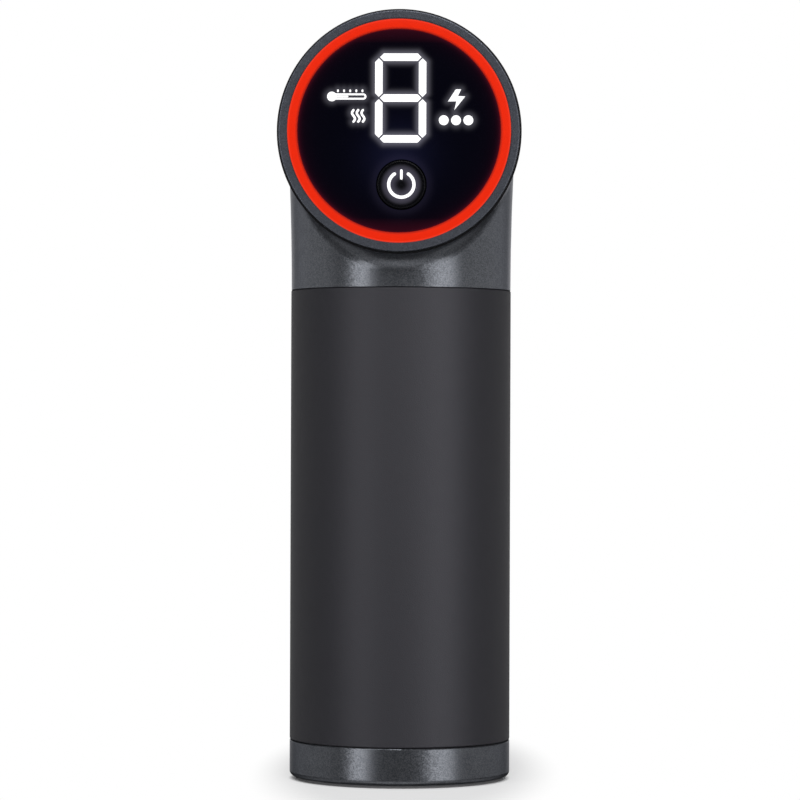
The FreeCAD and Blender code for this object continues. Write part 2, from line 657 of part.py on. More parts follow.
BUTTON_FLANGE_BACK = "(%s + button_flange_depth)" % BUTTON_FLANGE_FRONT
BUTTON_STEM_END = "(%s + button_stem)" % BUTTON_FLANGE_BACK
CARRIER_RADIUS = "(%s - bond_gap)" % LIGHT_SKIRT_INNER
FLANGE_END = "(flange_start + flange_thickness)"
DECK_HALF_WIDTH = "(sqrt(%s^2 - (deck_under + deck_thickness)^2) - bond_gap)" % BARREL_BORE
BULKHEAD_RADIUS = "(%s - bulkhead_play)" % BARREL_BORE
BULKHEAD_FRONT = "(flange_start - bond_gap - bulkhead_thickness)"
BUSH_BORE = "(plunger_radius + running_fit)"
BUSH_OUTER = "(%s + bush_wall)" % BUSH_BORE
BUSH_SEAT = "(%s + bond_gap)" % BUSH_OUTER
COLLAR_BACK = "(%s + bond_gap)" % FLANGE_END
NOSE_STEP = "(barrel_rear_reach + seam_gap)"
NOSE_FACE = "(barrel_rear_reach + seam_gap + nose_plate)"
NOSE_SCREW_SEAT = "(%s - nose_screw_sink)" % NOSE_FACE
NOSE_SCREW_LENGTH = "(%s - flange_start - seam_gap)" % NOSE_SCREW_SEAT

# the yoke and the plunger
SLOT_HALF_WIDTH = "(roller_radius + open_pivot)"
SLOT_HALF_LENGTH = "(crank_throw + roller_radius + open_pivot)"
YOKE_FRONT = "(%s + yoke_wall)" % SLOT_HALF_WIDTH
YOKE_HALF_WIDTH = "(%s + yoke_side)" % SLOT_HALF_LENGTH
PLUNGER_BORE = "(plunger_radius - plunger_wall)"
PLUNGER_BACK = "(%s + bond_gap)" % YOKE_FRONT
YOKE_PIN_PLACE = "(%s + yoke_pin_setback)" % YOKE_FRONT

# the head, front to back
HEAD_INNER = "(head_radius - head_wall)"
HEAD_FLOOR = "(head_rear + head_rear_wall)"
HEAD_FRONT = "(head_rear + head_length)"
STEM_END = "(head_rear - stem_length)"
STEM_GROOVE = "(stem_radius - stem_ring_depth)"
STEM_RING_LOW = "(head_rear - stem_ring_place - stem_ring_width/2)"
STEM_RING_HIGH = "(head_rear - stem_ring_place + stem_ring_width/2)"
CONTACT_BACK = "(%s - contact_reach)" % STEM_END
FAN_BACK = "(%s + bond_gap)" % HEAD_FLOOR
FAN_RING_INNER = "(%s - bond_gap - fan_ring_wall)" % HEAD_INNER
BLADE_RADIUS = "(%s - blade_gap)" % FAN_RING_INNER
PELTIER_FRONT = "(%s + bond_gap)" % HEAD_FRONT
PELTIER_BACK = "(%s - peltier_thickness)" % HEAD_FRONT
SINK_FRONT = "(%s - bond_gap)" % PELTIER_BACK
SINK_BACK = "(%s - sink_base)" % SINK_FRONT

CELL_ANGLES = (90, 210, 330)
LOWER_STRAP = (210, 330)
UPPER_STRAP_ANGLES = (-30, 90)
BOSS_ANGLES = (270, 30, 150)
BOSS_SPOTS = [about(BOSS_CIRCLE, angle) for angle in BOSS_ANGLES]
CARRIER_SPOTS = [
    (side + "carrier_boss_offset", level + "carrier_boss_offset")
    for side in ("", "-")
    for level in ("", "-")
]
BULKHEAD_SPOTS = [(FLANGE_SCREWS, "0"), ("0", FLANGE_SCREWS), ("-" + FLANGE_SCREWS, "0")]
COLLAR_SPOTS = [about(FLANGE_SCREWS, angle) for angle in (45, 135, 225, 315)]
MOTOR_SPOTS = [about("motor_screw_circle", angle) for angle in (45, 135, 225, 315)]
CONTACT_SPOTS = [about("contact_spread", angle) for angle in (45, 135, 225, 315)]
POST_SPOTS = [about(POST_CIRCLE, angle) for angle in BOSS_ANGLES]


def above_axis(height):
    """A height above the base as a place above the barrel's axis."""
    return "(%s - %s)" % (height, BARREL_AXIS)


# ---------------------------------------------------------------- housing and grip


def make_main_housing():
    shell = Piece("main_housing").at(z=BARREL_AXIS)
    tube_end = above_axis(TUBE_BOTTOM)
    shoulder = above_axis(NECK_BOTTOM)
    rise = "(-%s)" % shoulder
    flare_radius = "(%s^2 + neck_flare^2)/(2*neck_flare)" % rise
    shell.turn(
        "Z",
        [
            ("0", tube_end),
            (TUBE_OUTER, tube_end),
            (TUBE_OUTER, shoulder),
            (NECK_RADIUS, shoulder, flare_radius, "right"),
            (NECK_TOP_RADIUS, "0"),
            ("0", "0"),
        ],
    )
    shell.turn(
        "Y",
        [
            ("0", BARREL_FRONT),
            (BARREL_RADIUS, BARREL_FRONT),
            (BARREL_RADIUS, "barrel_rear_reach"),
            ("0", "barrel_rear_reach"),
        ],
    )
    radius = value(BARREL_RADIUS)

    def where_neck_meets_barrel(edge):
        ends = (edge.FirstParameter, edge.LastParameter)
        middle = edge.valueAt((ends[0] + ends[1]) / 2)
        on_barrel = abs(math.hypot(middle.x, middle.z) - radius) < 1e-3
        between_ends = abs(middle.y) < value(NECK_TOP_RADIUS)
        return on_barrel and between_ends and middle.z < -radius / 10

    shell.soften("Fillet", "barrel_blend", where_neck_meets_barrel)
    shell.groove(
        "Z",
        [("0", tube_end + " - 1"), (TUBE_BORE, tube_end + " - 1"), (TUBE_BORE, "0"), ("0", "0")],
    )
    shell.groove(
        "Y",
        [
            ("0", BARREL_FRONT + " - 1"),
            (BARREL_BORE, BARREL_FRONT + " - 1"),
            (BARREL_BORE, "flange_start"),
            (FLANGE_BORE, "flange_start"),
            (FLANGE_BORE, FLANGE_END),
            (BARREL_BORE, FLANGE_END),
            (BARREL_BORE, "barrel_rear_reach + 1"),
            ("0", "barrel_rear_reach + 1"),
        ],
    )
    bosses = [circle(x, y, "boss_radius") for x, y in BOSS_SPOTS]
    shell.pad("XY", bosses, tube_end, "boss_length")
    pilots = [circle(x, y, "screw_radius + bond_gap") for x, y in BOSS_SPOTS]
    shell.pocket("XY", pilots, tube_end, "cap_screw_length")
    flange_holes = [circle(x, z, "screw_radius + bond_gap") for x, z in BULKHEAD_SPOTS + COLLAR_SPOTS]
    shell.pocket("XZ", flange_holes, "flange_start - 1", "flange_thickness + 2")


def make_grip_sleeve():
    sleeve = Piece("grip_sleeve")
    bottom = "cap_top + seam_gap"
    top = NECK_BOTTOM + " - seam_gap"
    sleeve.turn(
        "Z",
        [(SLEEVE_INNER, bottom), (GRIP_RADIUS, bottom), (GRIP_RADIUS, top), (SLEEVE_INNER, top)],
    )
    sleeve.soften("Fillet", "seam_gap*3", lambda edge: is_circle(edge, GRIP_RADIUS))


def port_slot():
    """The slot around the charge receptacle, in the cap and the foot."""
    width = "port_width + 2*port_play"
    thickness = "port_thickness + 2*port_play"
    return rounded_box("0", "port_offset", width, thickness, "(%s)*0.4" % thickness)


def make_bottom_cap():
    cap = Piece("bottom_cap")
    cap.turn(
        "Z",
        [
            ("0", "foot_drop"),
            (GRIP_RADIUS, "foot_drop"),
            (GRIP_RADIUS, "cap_top"),
            (SLEEVE_INNER, "cap_top"),
            (SLEEVE_INNER, CAP_FLOOR_TOP),
            ("0", CAP_FLOOR_TOP),
        ],
    )
    cap.soften("Fillet", "cap_edge", lambda edge: is_circle(edge, GRIP_RADIUS, "foot_drop"))
    cap.soften("Fillet", "seam_gap*3", lambda edge: is_circle(edge, GRIP_RADIUS, "cap_top"))
    cap.pocket("XY", [circle("0", "0", FOOT_RADIUS)], "foot_drop", "foot_recess")
    holes = [circle(x, y, "screw_radius + seam_gap") for x, y in BOSS_SPOTS]
    cap.pocket("XY", holes, "foot_drop", "cap_floor")
    sinks = [circle(x, y, "screw_head_radius + seam_gap") for x, y in BOSS_SPOTS]
    cap.pocket("XY", sinks, "foot_drop + foot_recess", "screw_head + seam_gap")
    cap.pocket("XY", [port_slot()], "foot_drop", "cap_floor")


def make_base_foot():
    foot = Piece("base_foot")
    height = "foot_drop + foot_recess - bond_gap"
    foot.pad("XY", [circle("0", "0", FOOT_RADIUS + " - bond_gap"), port_slot()], "0", height)


# ---------------------------------------------------------------- battery and boards in the handle


def make_usb_receptacle():
    port = Piece("usb_receptacle")
    base = "(foot_drop + port_recess)"
    outer = rounded_box("0", "port_offset", "port_width", "port_thickness", "port_thickness*0.4")
    inner_width = "(port_width - 2*port_wall)"
    inner_thickness = "(port_thickness - 2*port_wall)"
    inner = rounded_box("0", "port_offset", inner_width, inner_thickness, inner_thickness + "*0.4")
    tongue = box("0", "port_offset", "port_width*0.75", "port_thickness*0.22")
    port.pad("XY", [outer], base, "port_length")
    port.pocket("XY", [inner], base, "port_length*0.85")
    port.pad("XY", [tongue], base + " + 1", "port_length - 1")


def make_charge_board():
    board = Piece("charge_board")
    board.pad("XY", [circle("0", "0", CHARGE_BOARD_RADIUS)], BOARD_BASE, "board_thickness")


def strap_outline(first, second, border="0"):
    """A strap with square ends between two cells, given by their angles."""
    outwards = (first + second) / 2
    half = "(strap_width/2 + %s)" % border
    corners = []
    for angle, along in ((first, -1), (second, 1)):
        for side in (along, -along):
            x, y = about(CELL_CIRCLE, angle)
            side_x, side_y = about(half, outwards if side > 0 else outwards + 180)
            corners.append(("%s + %s" % (x, side_x), "%s + %s" % (y, side_y)))
    return corners


def make_lower_cell_holder():
    holder = Piece("lower_cell_holder")
    base = LOWER_HOLDER_BASE
    holder.pad("XY", [circle("0", "0", HOLDER_RADIUS)], base, "%s - %s" % (LOWER_HOLDER_TOP, base))
    seat = HOLDER_STRAP + " - bond_gap"
    pocket_depth = "%s - (%s)" % (LOWER_HOLDER_TOP, seat)
    cell_x, cell_y = about(CELL_CIRCLE, CELL_ANGLES[0])
    pocket = holder.pocket("XY", [circle(cell_x, cell_y, "cell_radius + cell_play")], seat, pocket_depth)
    holder.repeat([pocket], "Z", "3")
    holder.pocket("XY", [strap_outline(*LOWER_STRAP, "bond_gap")], seat, pocket_depth)
    notches = [circle(x, y, "boss_radius + seam_gap") for x, y in BOSS_SPOTS]
    holder.pocket("XY", notches + [circle("0", "0", "2*wire_radius")], base, "holder_floor + holder_grip*2")
    leg_base = TUBE_BOTTOM
    legs = [circle(*about(LEG_CIRCLE, angle), "leg_radius") for angle in CELL_ANGLES]
    holder.pad("XY", legs, leg_base, "%s - %s" % (base, leg_base))
    stud_base = "(%s + board_thickness + bond_gap)" % BOARD_BASE
    studs = [circle(*about("stud_circle", angle), "stud_radius") for angle in CELL_ANGLES]
    holder.pad("XY", studs, stud_base, "%s - %s" % (base, stud_base))


def make_upper_cell_holder():
    holder = Piece("upper_cell_holder")
    base = "(cell_base + cell_length - holder_grip)"
    holder.pad("XY", [circle("0", "0", HOLDER_RADIUS)], base, "%s - %s" % (UPPER_HOLDER_TOP, base))
    cell_x, cell_y = about(CELL_CIRCLE, CELL_ANGLES[0])
    depth = "%s - %s" % (UPPER_HOLDER_FLOOR, base)
    pocket = holder.pocket("XY", [circle(cell_x, cell_y, "cell_radius + cell_play")], base, depth)
    holder.repeat([pocket], "Z", "3")
    holder.pocket("XY", [strap_outline(*UPPER_STRAP_ANGLES, "bond_gap")], base, depth)
    posts = [circle(x, y, "post_radius") for x, y in POST_SPOTS]
    holder.pad("XY", posts, UPPER_HOLDER_TOP, "post_height")
    pilots = [circle(x, y, "screw_radius + bond_gap") for x, y in POST_SPOTS]
    holder.pocket("XY", pilots, UPPER_HOLDER_TOP, "post_height")
    ways = [circle(x, "0", "wire_radius + bond_gap") for x in ("lead_spread", "-lead_spread")]
    ways.append(circle("0", "0", "2*wire_radius"))
    holder.pocket("XY", ways, base, "%s - %s" % (UPPER_HOLDER_TOP, base))


def make_battery_cells():
    cells = Piece("battery_cells")
    cell_x, cell_y = about(CELL_CIRCLE, CELL_ANGLES[0])
    can = cells.pad("XY", [circle(cell_x, cell_y, "cell_radius")], "cell_base", "cell_length")
    top = "cell_base + cell_length"
    contact = cells.pad("XY", [circle(cell_x, cell_y, "cell_contact_radius")], top, "cell_contact")
    cells.repeat([can, contact], "Z", "3")


def make_cell_straps():
    straps = Piece("cell_straps")
    straps.pad("XY", [strap_outline(*LOWER_STRAP)], HOLDER_STRAP, "strap_thickness")
    straps.pad("XY", [strap_outline(*UPPER_STRAP_ANGLES)], UPPER_STRAP, "strap_thickness")


def make_battery_leads():
    leads = Piece("battery_leads")
    loops = [circle(x, "0", "wire_radius") for x in ("lead_spread", "-lead_spread")]
    bottom = UPPER_HOLDER_FLOOR
    leads.pad("XY", loops, bottom, "%s - bond_gap - %s" % (DRIVER_BASE, bottom))
    bottom = "(%s + board_thickness + bond_gap)" % BOARD_BASE
    leads.pad("XY", [circle("0", "0", "wire_radius")], bottom, "%s - bond_gap - %s" % (DRIVER_BASE, bottom))


def make_driver_board():
    board = Piece("driver_board")
    board.pad("XY", [circle("0", "0", DRIVER_BOARD_RADIUS)], DRIVER_BASE, "driver_board")
    holes = [circle(x, y, "screw_radius + seam_gap") for x, y in POST_SPOTS]
    board.pocket("XY", holes, DRIVER_BASE, "driver_board")
    parts = Piece("driver_components")
    top = DRIVER_TOP + " + bond_gap"
    rows = ("switch_bank - switch_rows/2", "switch_bank + switch_rows/2")
    columns = ("-switch_columns", "0", "switch_columns")
    chips = [box(x, y, "switch_across", "switch_along") for x in columns for y in rows]
    controller = box("0", "-switch_bank", "controller_side", "controller_side")
    parts.pad("XY", chips + [controller], top, "chip_height")
    cans = [circle(x, "-can_front", "can_radius") for x in ("can_across", "-can_across")]
    parts.pad("XY", cans, top, "can_height")


# ---------------------------------------------------------------- display end


def make_rear_bezel():
    bezel = Piece("rear_bezel").at(z=BARREL_AXIS)
    bezel.turn(
        "Y",
        [
            (RING_OUTER, FACE),
            (BEZEL_RADIUS + " - bezel_edge", FACE, "bezel_edge", "left"),
            (BEZEL_RADIUS, FACE + " + bezel_edge"),
            (BEZEL_RADIUS, BARREL_FRONT + " - seam_gap"),
            (SKIRT_OUTER, BARREL_FRONT + " - seam_gap"),
            (SKIRT_OUTER, BOARD_BACK),
            (SKIRT_INNER, BOARD_BACK),
            (SKIRT_INNER, RING_STEP + " + bond_gap"),
            (RING_OUTER, RING_STEP + " + bond_gap"),
        ],
    )
    bezel.soften("Chamfer", "ring_recess", lambda edge: is_circle(edge, RING_OUTER, FACE, "y"))


def make_light_ring():
    light = Piece("light_ring").at(z=BARREL_AXIS)
    light.turn(
        "Y",
        [
            (RING_INNER, RING_FRONT),
            (RING_OUTER + " - bond_gap", RING_FRONT),
            (RING_OUTER + " - bond_gap", RING_STEP),
            (LIGHT_SKIRT_OUTER, RING_STEP),
            (LIGHT_SKIRT_OUTER, BOARD_FRONT + " - skirt_gap"),
            (LIGHT_SKIRT_INNER, BOARD_FRONT + " - skirt_gap"),
            (LIGHT_SKIRT_INNER, LENS_BACK + " + bond_gap"),
            (RING_INNER, LENS_BACK + " + bond_gap"),
        ],
    )


def make_display_lens():
    lens = Piece("display_lens").at(z=BARREL_AXIS)
    hole = circle("button_across", "-" + BUTTON_DROP, "button_radius + moving_gap")
    rim = circle("0", "0", RING_INNER + " - seam_gap")
    lens.pad("XZ", [rim, hole], RING_FRONT, "lens_thickness")
    lens.soften("Chamfer", "lens_edge", lambda edge: is_circle(edge, rim["radius"], RING_FRONT, "y"))


def stroke_loops(border="0"):
    """The seven strokes of the digit, each grown by a border."""
    upright = "(digit_rows - stroke_break + 2*(%s))" % border
    level = "(digit_columns - stroke_break + 2*(%s))" % border
    width = "(stroke_width + 2*(%s))" % border
    loops = []
    for side in ("- digit_columns/2", "+ digit_columns/2"):
        for row in ("- digit_rows/2", "+ digit_rows/2"):
            loops.append(bar("digit_across " + side, "digit_up " + row, upright, width, True))
    for row in ("- digit_rows", "", "+ digit_rows"):
        loops.append(bar("digit_across", "digit_up " + row, level, width, False))
    return loops


ICONS = ("thermometer", "waves", "bolt", "dots")


def icon_loops(border="0"):
    """The windows of the small figures, grown by a border."""
    loops = []
    for icon in ICONS:
        width = "(%s_width + 2*(%s))" % (icon, border)
        height = "(%s_height + 2*(%s))" % (icon, border)
        loops.append(box(icon + "_across", icon + "_up", width, height))
    return loops


def digit_box():
    width = "(digit_columns + stroke_width + digit_border)"
    height = "(2*digit_rows + stroke_width + digit_border)"
    return box("digit_across", "digit_up", width, height)


def make_display_carrier():
    carrier = Piece("display_carrier").at(z=BARREL_AXIS)
    carrier.pad("XZ", [circle("0", "0", CARRIER_RADIUS)], CARRIER_FRONT, "carrier_depth")
    hollow_start = "(%s + carrier_wall)" % CARRIER_FRONT
    hollow = "(carrier_depth - carrier_wall)"
    carrier.pocket("XZ", [circle("0", "0", CARRIER_RADIUS + " - carrier_wall")], hollow_start, hollow)
    bosses = [circle(x, z, "carrier_boss_radius") for x, z in CARRIER_SPOTS]
    carrier.pad("XZ", bosses, hollow_start, hollow)
    carrier.pad("XZ", [digit_box()], hollow_start, hollow)
    carrier.pocket("XZ", stroke_loops("bond_gap"), CARRIER_FRONT, "carrier_depth")
    windows = icon_loops("bond_gap")
    button = circle("button_across", "-" + BUTTON_DROP, "button_radius + button_flange + moving_gap")
    carrier.pocket("XZ", windows + [button], CARRIER_FRONT, "carrier_wall")
    pilots = [circle(x, z, "screw_radius + bond_gap") for x, z in CARRIER_SPOTS]
    start = CARRIER_BACK + " - display_screw_length + display_board"
    carrier.pocket("XZ", pilots, start, "display_screw_length")


def make_figure_diffusers():
    figures = Piece("figure_diffusers").at(z=BARREL_AXIS)
    depth = "carrier_depth + bond_gap - lamp_height - lamp_gap"
    figures.pad("XZ", stroke_loops() + icon_loops(), CARRIER_FRONT, depth)


def make_display_board():
    board = Piece("display_board").at(z=BARREL_AXIS)
    holes = [circle(x, z, "screw_radius + seam_gap") for x, z in CARRIER_SPOTS]
    rim = circle("0", "0", SKIRT_INNER + " - bond_gap")
    board.pad("XZ", [rim] + holes, BOARD_FRONT, "display_board")


def make_display_lamps():
    lamps = Piece("display_lamps").at(z=BARREL_AXIS)
    spots = []
    for side in ("- digit_columns/2", "+ digit_columns/2"):
        for row in ("- digit_rows/2", "+ digit_rows/2"):
            spots.append(("digit_across " + side, "digit_up " + row))
    for row in ("- digit_rows", "", "+ digit_rows"):
        spots.append(("digit_across", "digit_up " + row))
    spots += [(icon + "_across", icon + "_up") for icon in ICONS]
    start = BOARD_FRONT + " - lamp_height - bond_gap/2"
    chips = [box(x, z, "lamp_width", "lamp_length") for x, z in spots]
    lamps.pad("XZ", chips, start, "lamp_height")
    middle = "((%s + %s)/2)" % (LIGHT_SKIRT_OUTER, LIGHT_SKIRT_INNER)
    first = lamps.pad("XZ", [box(middle, "0", "lamp_width", "lamp_length")], start, "lamp_height")
    lamps.repeat([first], "Y", "ring_lamps")


def make_power_button():
    button = Piece("power_button").at(x="button_across", z=BUTTON_HEIGHT)
    dish = FACE + " + button_dish"
    edge = "button_rim/3"
    button.turn(
        "Y",
        [
            ("0", dish),
            ("button_radius - button_rim", dish),
            ("button_radius - button_rim + " + edge, FACE),
            ("button_radius - " + edge, FACE, edge, "left"),
            ("button_radius", FACE + " + " + edge),
            ("button_radius", BUTTON_FLANGE_FRONT),
            ("button_radius + button_flange - moving_gap", BUTTON_FLANGE_FRONT),
            ("button_radius + button_flange - moving_gap", BUTTON_FLANGE_BACK),
            ("button_stem_radius", BUTTON_FLANGE_BACK),
            ("button_stem_radius", BUTTON_STEM_END),
            ("0", BUTTON_STEM_END),
        ],
    )


def make_tact_switch():
    switch = Piece("tact_switch").at(x="button_across", z=BUTTON_HEIGHT)
    front = "(%s - switch_height - bond_gap)" % BOARD_FRONT
    switch.pad("XZ", [box("0", "0", "switch_side", "switch_side")], front, "switch_height")
    bore = circle("0", "0", "switch_plunger_radius + moving_gap")
    switch.pocket("XZ", [bore], front, "switch_height - switch_floor")


def make_switch_plunger():
    plunger = Piece("switch_plunger").at(x="button_across", z=BUTTON_HEIGHT)
    start = "(%s + bond_gap)" % BUTTON_STEM_END
    end = "(%s - bond_gap - switch_floor - button_travel - moving_gap)" % BOARD_FRONT
    plunger.pad("XZ", [circle("0", "0", "switch_plunger_radius")], start, "%s - %s" % (end, start))


def make_cable_sockets():
    sockets = Piece("cable_sockets")
    middle = "(-%s + cable_socket_depth*0.3)" % CABLE_FRONT
    lower = box("0", middle, "cable_socket_width", "cable_socket_depth")
    sockets.pad("XY", [lower], DRIVER_TOP + " + bond_gap", "cable_socket_height")
    middle = "(%s + display_socket_depth/2 + bond_gap)" % BOARD_BACK
    upper = box("0", middle, "cable_socket_width", "display_socket_depth")
    low = BARREL_AXIS + " - display_socket_drop"
    sockets.pad("XY", [upper], low, "display_socket_height")


def make_display_cable():
    cable = Piece("display_cable")
    neck_front = "(-%s - cable_thickness)" % CABLE_FRONT
    neck_back = "(-%s)" % CABLE_FRONT
    head_front = "(%s + display_socket_depth + 2*bond_gap)" % BOARD_BACK
    head_back = "(%s + cable_thickness)" % head_front
    bottom = "(%s + cable_socket_height + 2*bond_gap)" % DRIVER_TOP
    bend_low = "(%s - cable_bend_low)" % BARREL_AXIS
    bend_high = "(%s - cable_bend_high)" % BARREL_AXIS
    top = "(%s - display_socket_drop + display_socket_height)" % BARREL_AXIS
    side = [
        (neck_front, bottom),
        (neck_back, bottom),
        (neck_back, bend_low),
        (head_back, bend_high),
        (head_back, top),
        (head_front, top),
        (head_front, bend_high + " - cable_thickness/2"),
        (neck_front, bend_low + " - cable_thickness/2"),
    ]
    cable.pad("YZ", [side], "-cable_width/2", "cable_width")


# ---------------------------------------------------------------- drive


def make_drive_bracket():
    bracket = Piece("drive_bracket").at(z=BARREL_AXIS)
    bracket.pad("XZ", [circle("0", "0", BULKHEAD_RADIUS)], BULKHEAD_FRONT, "bulkhead_thickness")
    middle = "%s - %s/2" % (DECK_BASE, BULKHEAD_RADIUS)
    below = box("0", middle, "2*" + BULKHEAD_RADIUS, BULKHEAD_RADIUS)
    bracket.pocket("XZ", [below], BULKHEAD_FRONT + " - 1", "bulkhead_thickness + 2")
    boss = "%s - bulkhead_boss" % BULKHEAD_FRONT
    bracket.pad("XZ", [circle("0", "0", "bulkhead_boss_radius")], boss, "bulkhead_boss + 1")
    depth = "(%s + deck_front)" % BULKHEAD_FRONT
    deck = box("0", "-deck_front + %s/2" % depth, "2*" + DECK_HALF_WIDTH, depth)
    bracket.pad("XY", [deck], DECK_BASE, "deck_thickness")
    wedge = [
        (BULKHEAD_FRONT + " - gusset_reach", "-deck_under"),
        (BULKHEAD_FRONT, "-deck_under"),
        (BULKHEAD_FRONT, "-deck_under + gusset_rise"),
    ]
    bracket.pad("YZ", [wedge], DECK_HALF_WIDTH + " - gusset_width", "gusset_width")
    bracket.pad("YZ", [wedge], "-" + DECK_HALF_WIDTH, "gusset_width")
    bore = circle("0", "0", BUSH_SEAT)
    bracket.pocket("XZ", [bore], boss + " - 1", "bulkhead_thickness + bulkhead_boss + 3")
    holes = [circle(x, z, "screw_radius + seam_gap") for x, z in BULKHEAD_SPOTS]
    bracket.pocket("XZ", holes, BULKHEAD_FRONT + " - 1", "bulkhead_thickness + 2")
    deck_holes = [circle(x, y, "screw_radius + seam_gap") for x, y in MOTOR_SPOTS]
    deck_holes.append(circle("0", "0", "bearing_radius + moving_gap"))
    bracket.pocket("XY", deck_holes, DECK_BASE + " - 1", "deck_thickness + 2")


def make_bracket_bush():
    bush = Piece("bracket_bush").at(z=BARREL_AXIS)
    bush.pad("XZ", ring(BUSH_OUTER, BUSH_BORE), "%s - bulkhead_boss" % BULKHEAD_FRONT, "bush_length")


def make_nose_bush():
    bush = Piece("nose_bush").at(z=BARREL_AXIS)
    end = NOSE_FACE + " - seal_recess - bond_gap"
    length = "nose_boss - seal_recess - bond_gap"
    bush.pad("XZ", ring(BUSH_OUTER, BUSH_BORE), "%s - (%s)" % (end, length), length)


def make_motor_base():
    base = Piece("motor_base").at(z=BARREL_AXIS)
    base.turn(
        "Z",
        [
            (BEARING_SEAT, TUBE_END),
            (BEARING_TUBE, TUBE_END),
            (BEARING_TUBE, FLANGE_BASE),
            ("motor_base_radius", FLANGE_BASE),
            ("motor_base_radius", MOTOR_TOP),
            (BEARING_SEAT, MOTOR_TOP),
        ],
    )
    holes = [circle(x, y, "screw_radius + bond_gap") for x, y in MOTOR_SPOTS]
    base.pocket("XY", holes, FLANGE_BASE, "motor_base")


def make_motor_bearings():
    bearings = Piece("motor_bearings").at(z=BARREL_AXIS)
    race = ring("bearing_radius", "shaft_radius + running_fit")
    bearings.pad("XY", race, "%s - bearing_width" % MOTOR_TOP, "bearing_width")
    bearings.pad("XY", race, TUBE_END, "bearing_width")


def make_motor_stator():
    stator = Piece("motor_stator").at(z=BARREL_AXIS)
    stator.pad("XY", ring(CORE_OUTER, CORE_INNER), STATOR_BASE, "stator_height")
    tooth_start = "(%s - stator_core/3)" % CORE_OUTER
    tooth_length = "(stator_radius*0.995 - %s)" % tooth_start
    tooth_box = box("%s + %s/2" % (tooth_start, tooth_length), "0", tooth_length, "tooth_width")
    tooth = stator.pad("XY", [tooth_box], STATOR_BASE, "stator_height")
    stator.repeat([tooth], "Z", "teeth")


def make_motor_coils():
    coils = Piece("motor_coils").at(z=BARREL_AXIS)
    centre = "%s + bond_gap + coil_length/2" % CORE_OUTER
    height = "stator_height + 2*coil_width"
    block_box = box(centre, "0", "coil_length", "tooth_width + 2*coil_width")
    block = coils.pad("XY", [block_box], STATOR_BASE + " - coil_width", height)
    around = "(tooth_width + 2*bond_gap)"
    middle = "(%s + %s)/2" % (STATOR_BASE, STATOR_TOP)
    inside = box("0", middle, around, "stator_height + 2*bond_gap")
    opening = coils.pocket("YZ", [inside], CORE_OUTER, "coil_length + 1")
    coils.repeat([block, opening], "Z", "teeth")


def make_motor_rotor():
    bell = Piece("motor_rotor").at(z=BARREL_AXIS)
    bell_inner = "(bell_radius - bell_wall)"
    bell.turn(
        "Z",
        [
            ("shaft_radius + bond_gap/2", BELL_BASE),
            ("bell_radius", BELL_BASE),
            ("bell_radius", BELL_TOP),
            (bell_inner, BELL_TOP),
            (bell_inner, BELL_FLOOR),
            ("bell_hub_radius", BELL_FLOOR),
            ("bell_hub_radius", BELL_FLOOR + " + bell_hub"),
            ("shaft_radius + bond_gap/2", BELL_FLOOR + " + bell_hub"),
        ],
    )


def make_rotor_magnets():
    magnets = Piece("rotor_magnets").at(z=BARREL_AXIS)
    middle = "stator_radius + magnet_gap + magnet_thickness/2"
    bar_box = box(middle, "0", "magnet_thickness", "magnet_width")
    first = magnets.pad("XY", [bar_box], STATOR_BASE, "stator_height")
    magnets.repeat([first], "Z", "magnets")


def make_motor_shaft():
    shaft = Piece("motor_shaft").at(z=BARREL_AXIS)
    top = "(%s + crank_bore_depth - bond_gap)" % CRANK_BASE
    shaft.pad("XY", [circle("0", "0", "shaft_radius")], BELL_BASE, "%s - %s" % (top, BELL_BASE))


def make_crank():
    crank = Piece("crank").at(z=BARREL_AXIS)
    crank.pad("XY", [circle("0", "0", "crank_radius")], CRANK_BASE, "crank_thickness")
    far_half = box("crank_radius", "0", "2*crank_radius", "2*crank_radius + 2")
    crank.pocket("XY", [far_half], CRANK_BASE, "crank_thickness")
    crank.pad("XY", [circle("0", "0", "crank_hub_radius")], CRANK_BASE, "crank_thickness")
    crank.pocket("XY", [circle("0", "0", "shaft_radius + bond_gap/2")], CRANK_BASE, "crank_bore_depth")
    seat = "(-yoke_half_height - bond_gap)"
    shoulder = circle("crank_throw", "0", "crank_pin_radius + crank_shoulder")
    crank.pad("XY", [shoulder], "-crank_under", "%s + crank_under" % seat)
    pin_top = "(yoke_half_height + clip_thickness + 2*bond_gap + pin_end)"
    pin = circle("crank_throw", "0", "crank_pin_radius")
    crank.pad("XY", [pin], seat, "%s - %s" % (pin_top, seat))


def make_crank_bearing():
    bearing = Piece("crank_bearing").at(x="crank_throw", z=BARREL_AXIS)
    race = ring("roller_radius", "crank_pin_radius + bond_gap/2")
    bearing.pad("XY", race, "-yoke_half_height", "2*yoke_half_height")


def make_crank_clip():
    clip = Piece("crank_clip").at(x="crank_throw", z=BARREL_AXIS)
    clip_ring = ring("clip_radius", "crank_pin_radius + bond_gap/2")
    clip.pad("XY", clip_ring, "yoke_half_height + bond_gap", "clip_thickness")


def yoke_pin_loop(border="0"):
    """The cross pin's circle, wider by border."""
    return circle("0", YOKE_PIN_PLACE, "yoke_pin_radius + " + border)


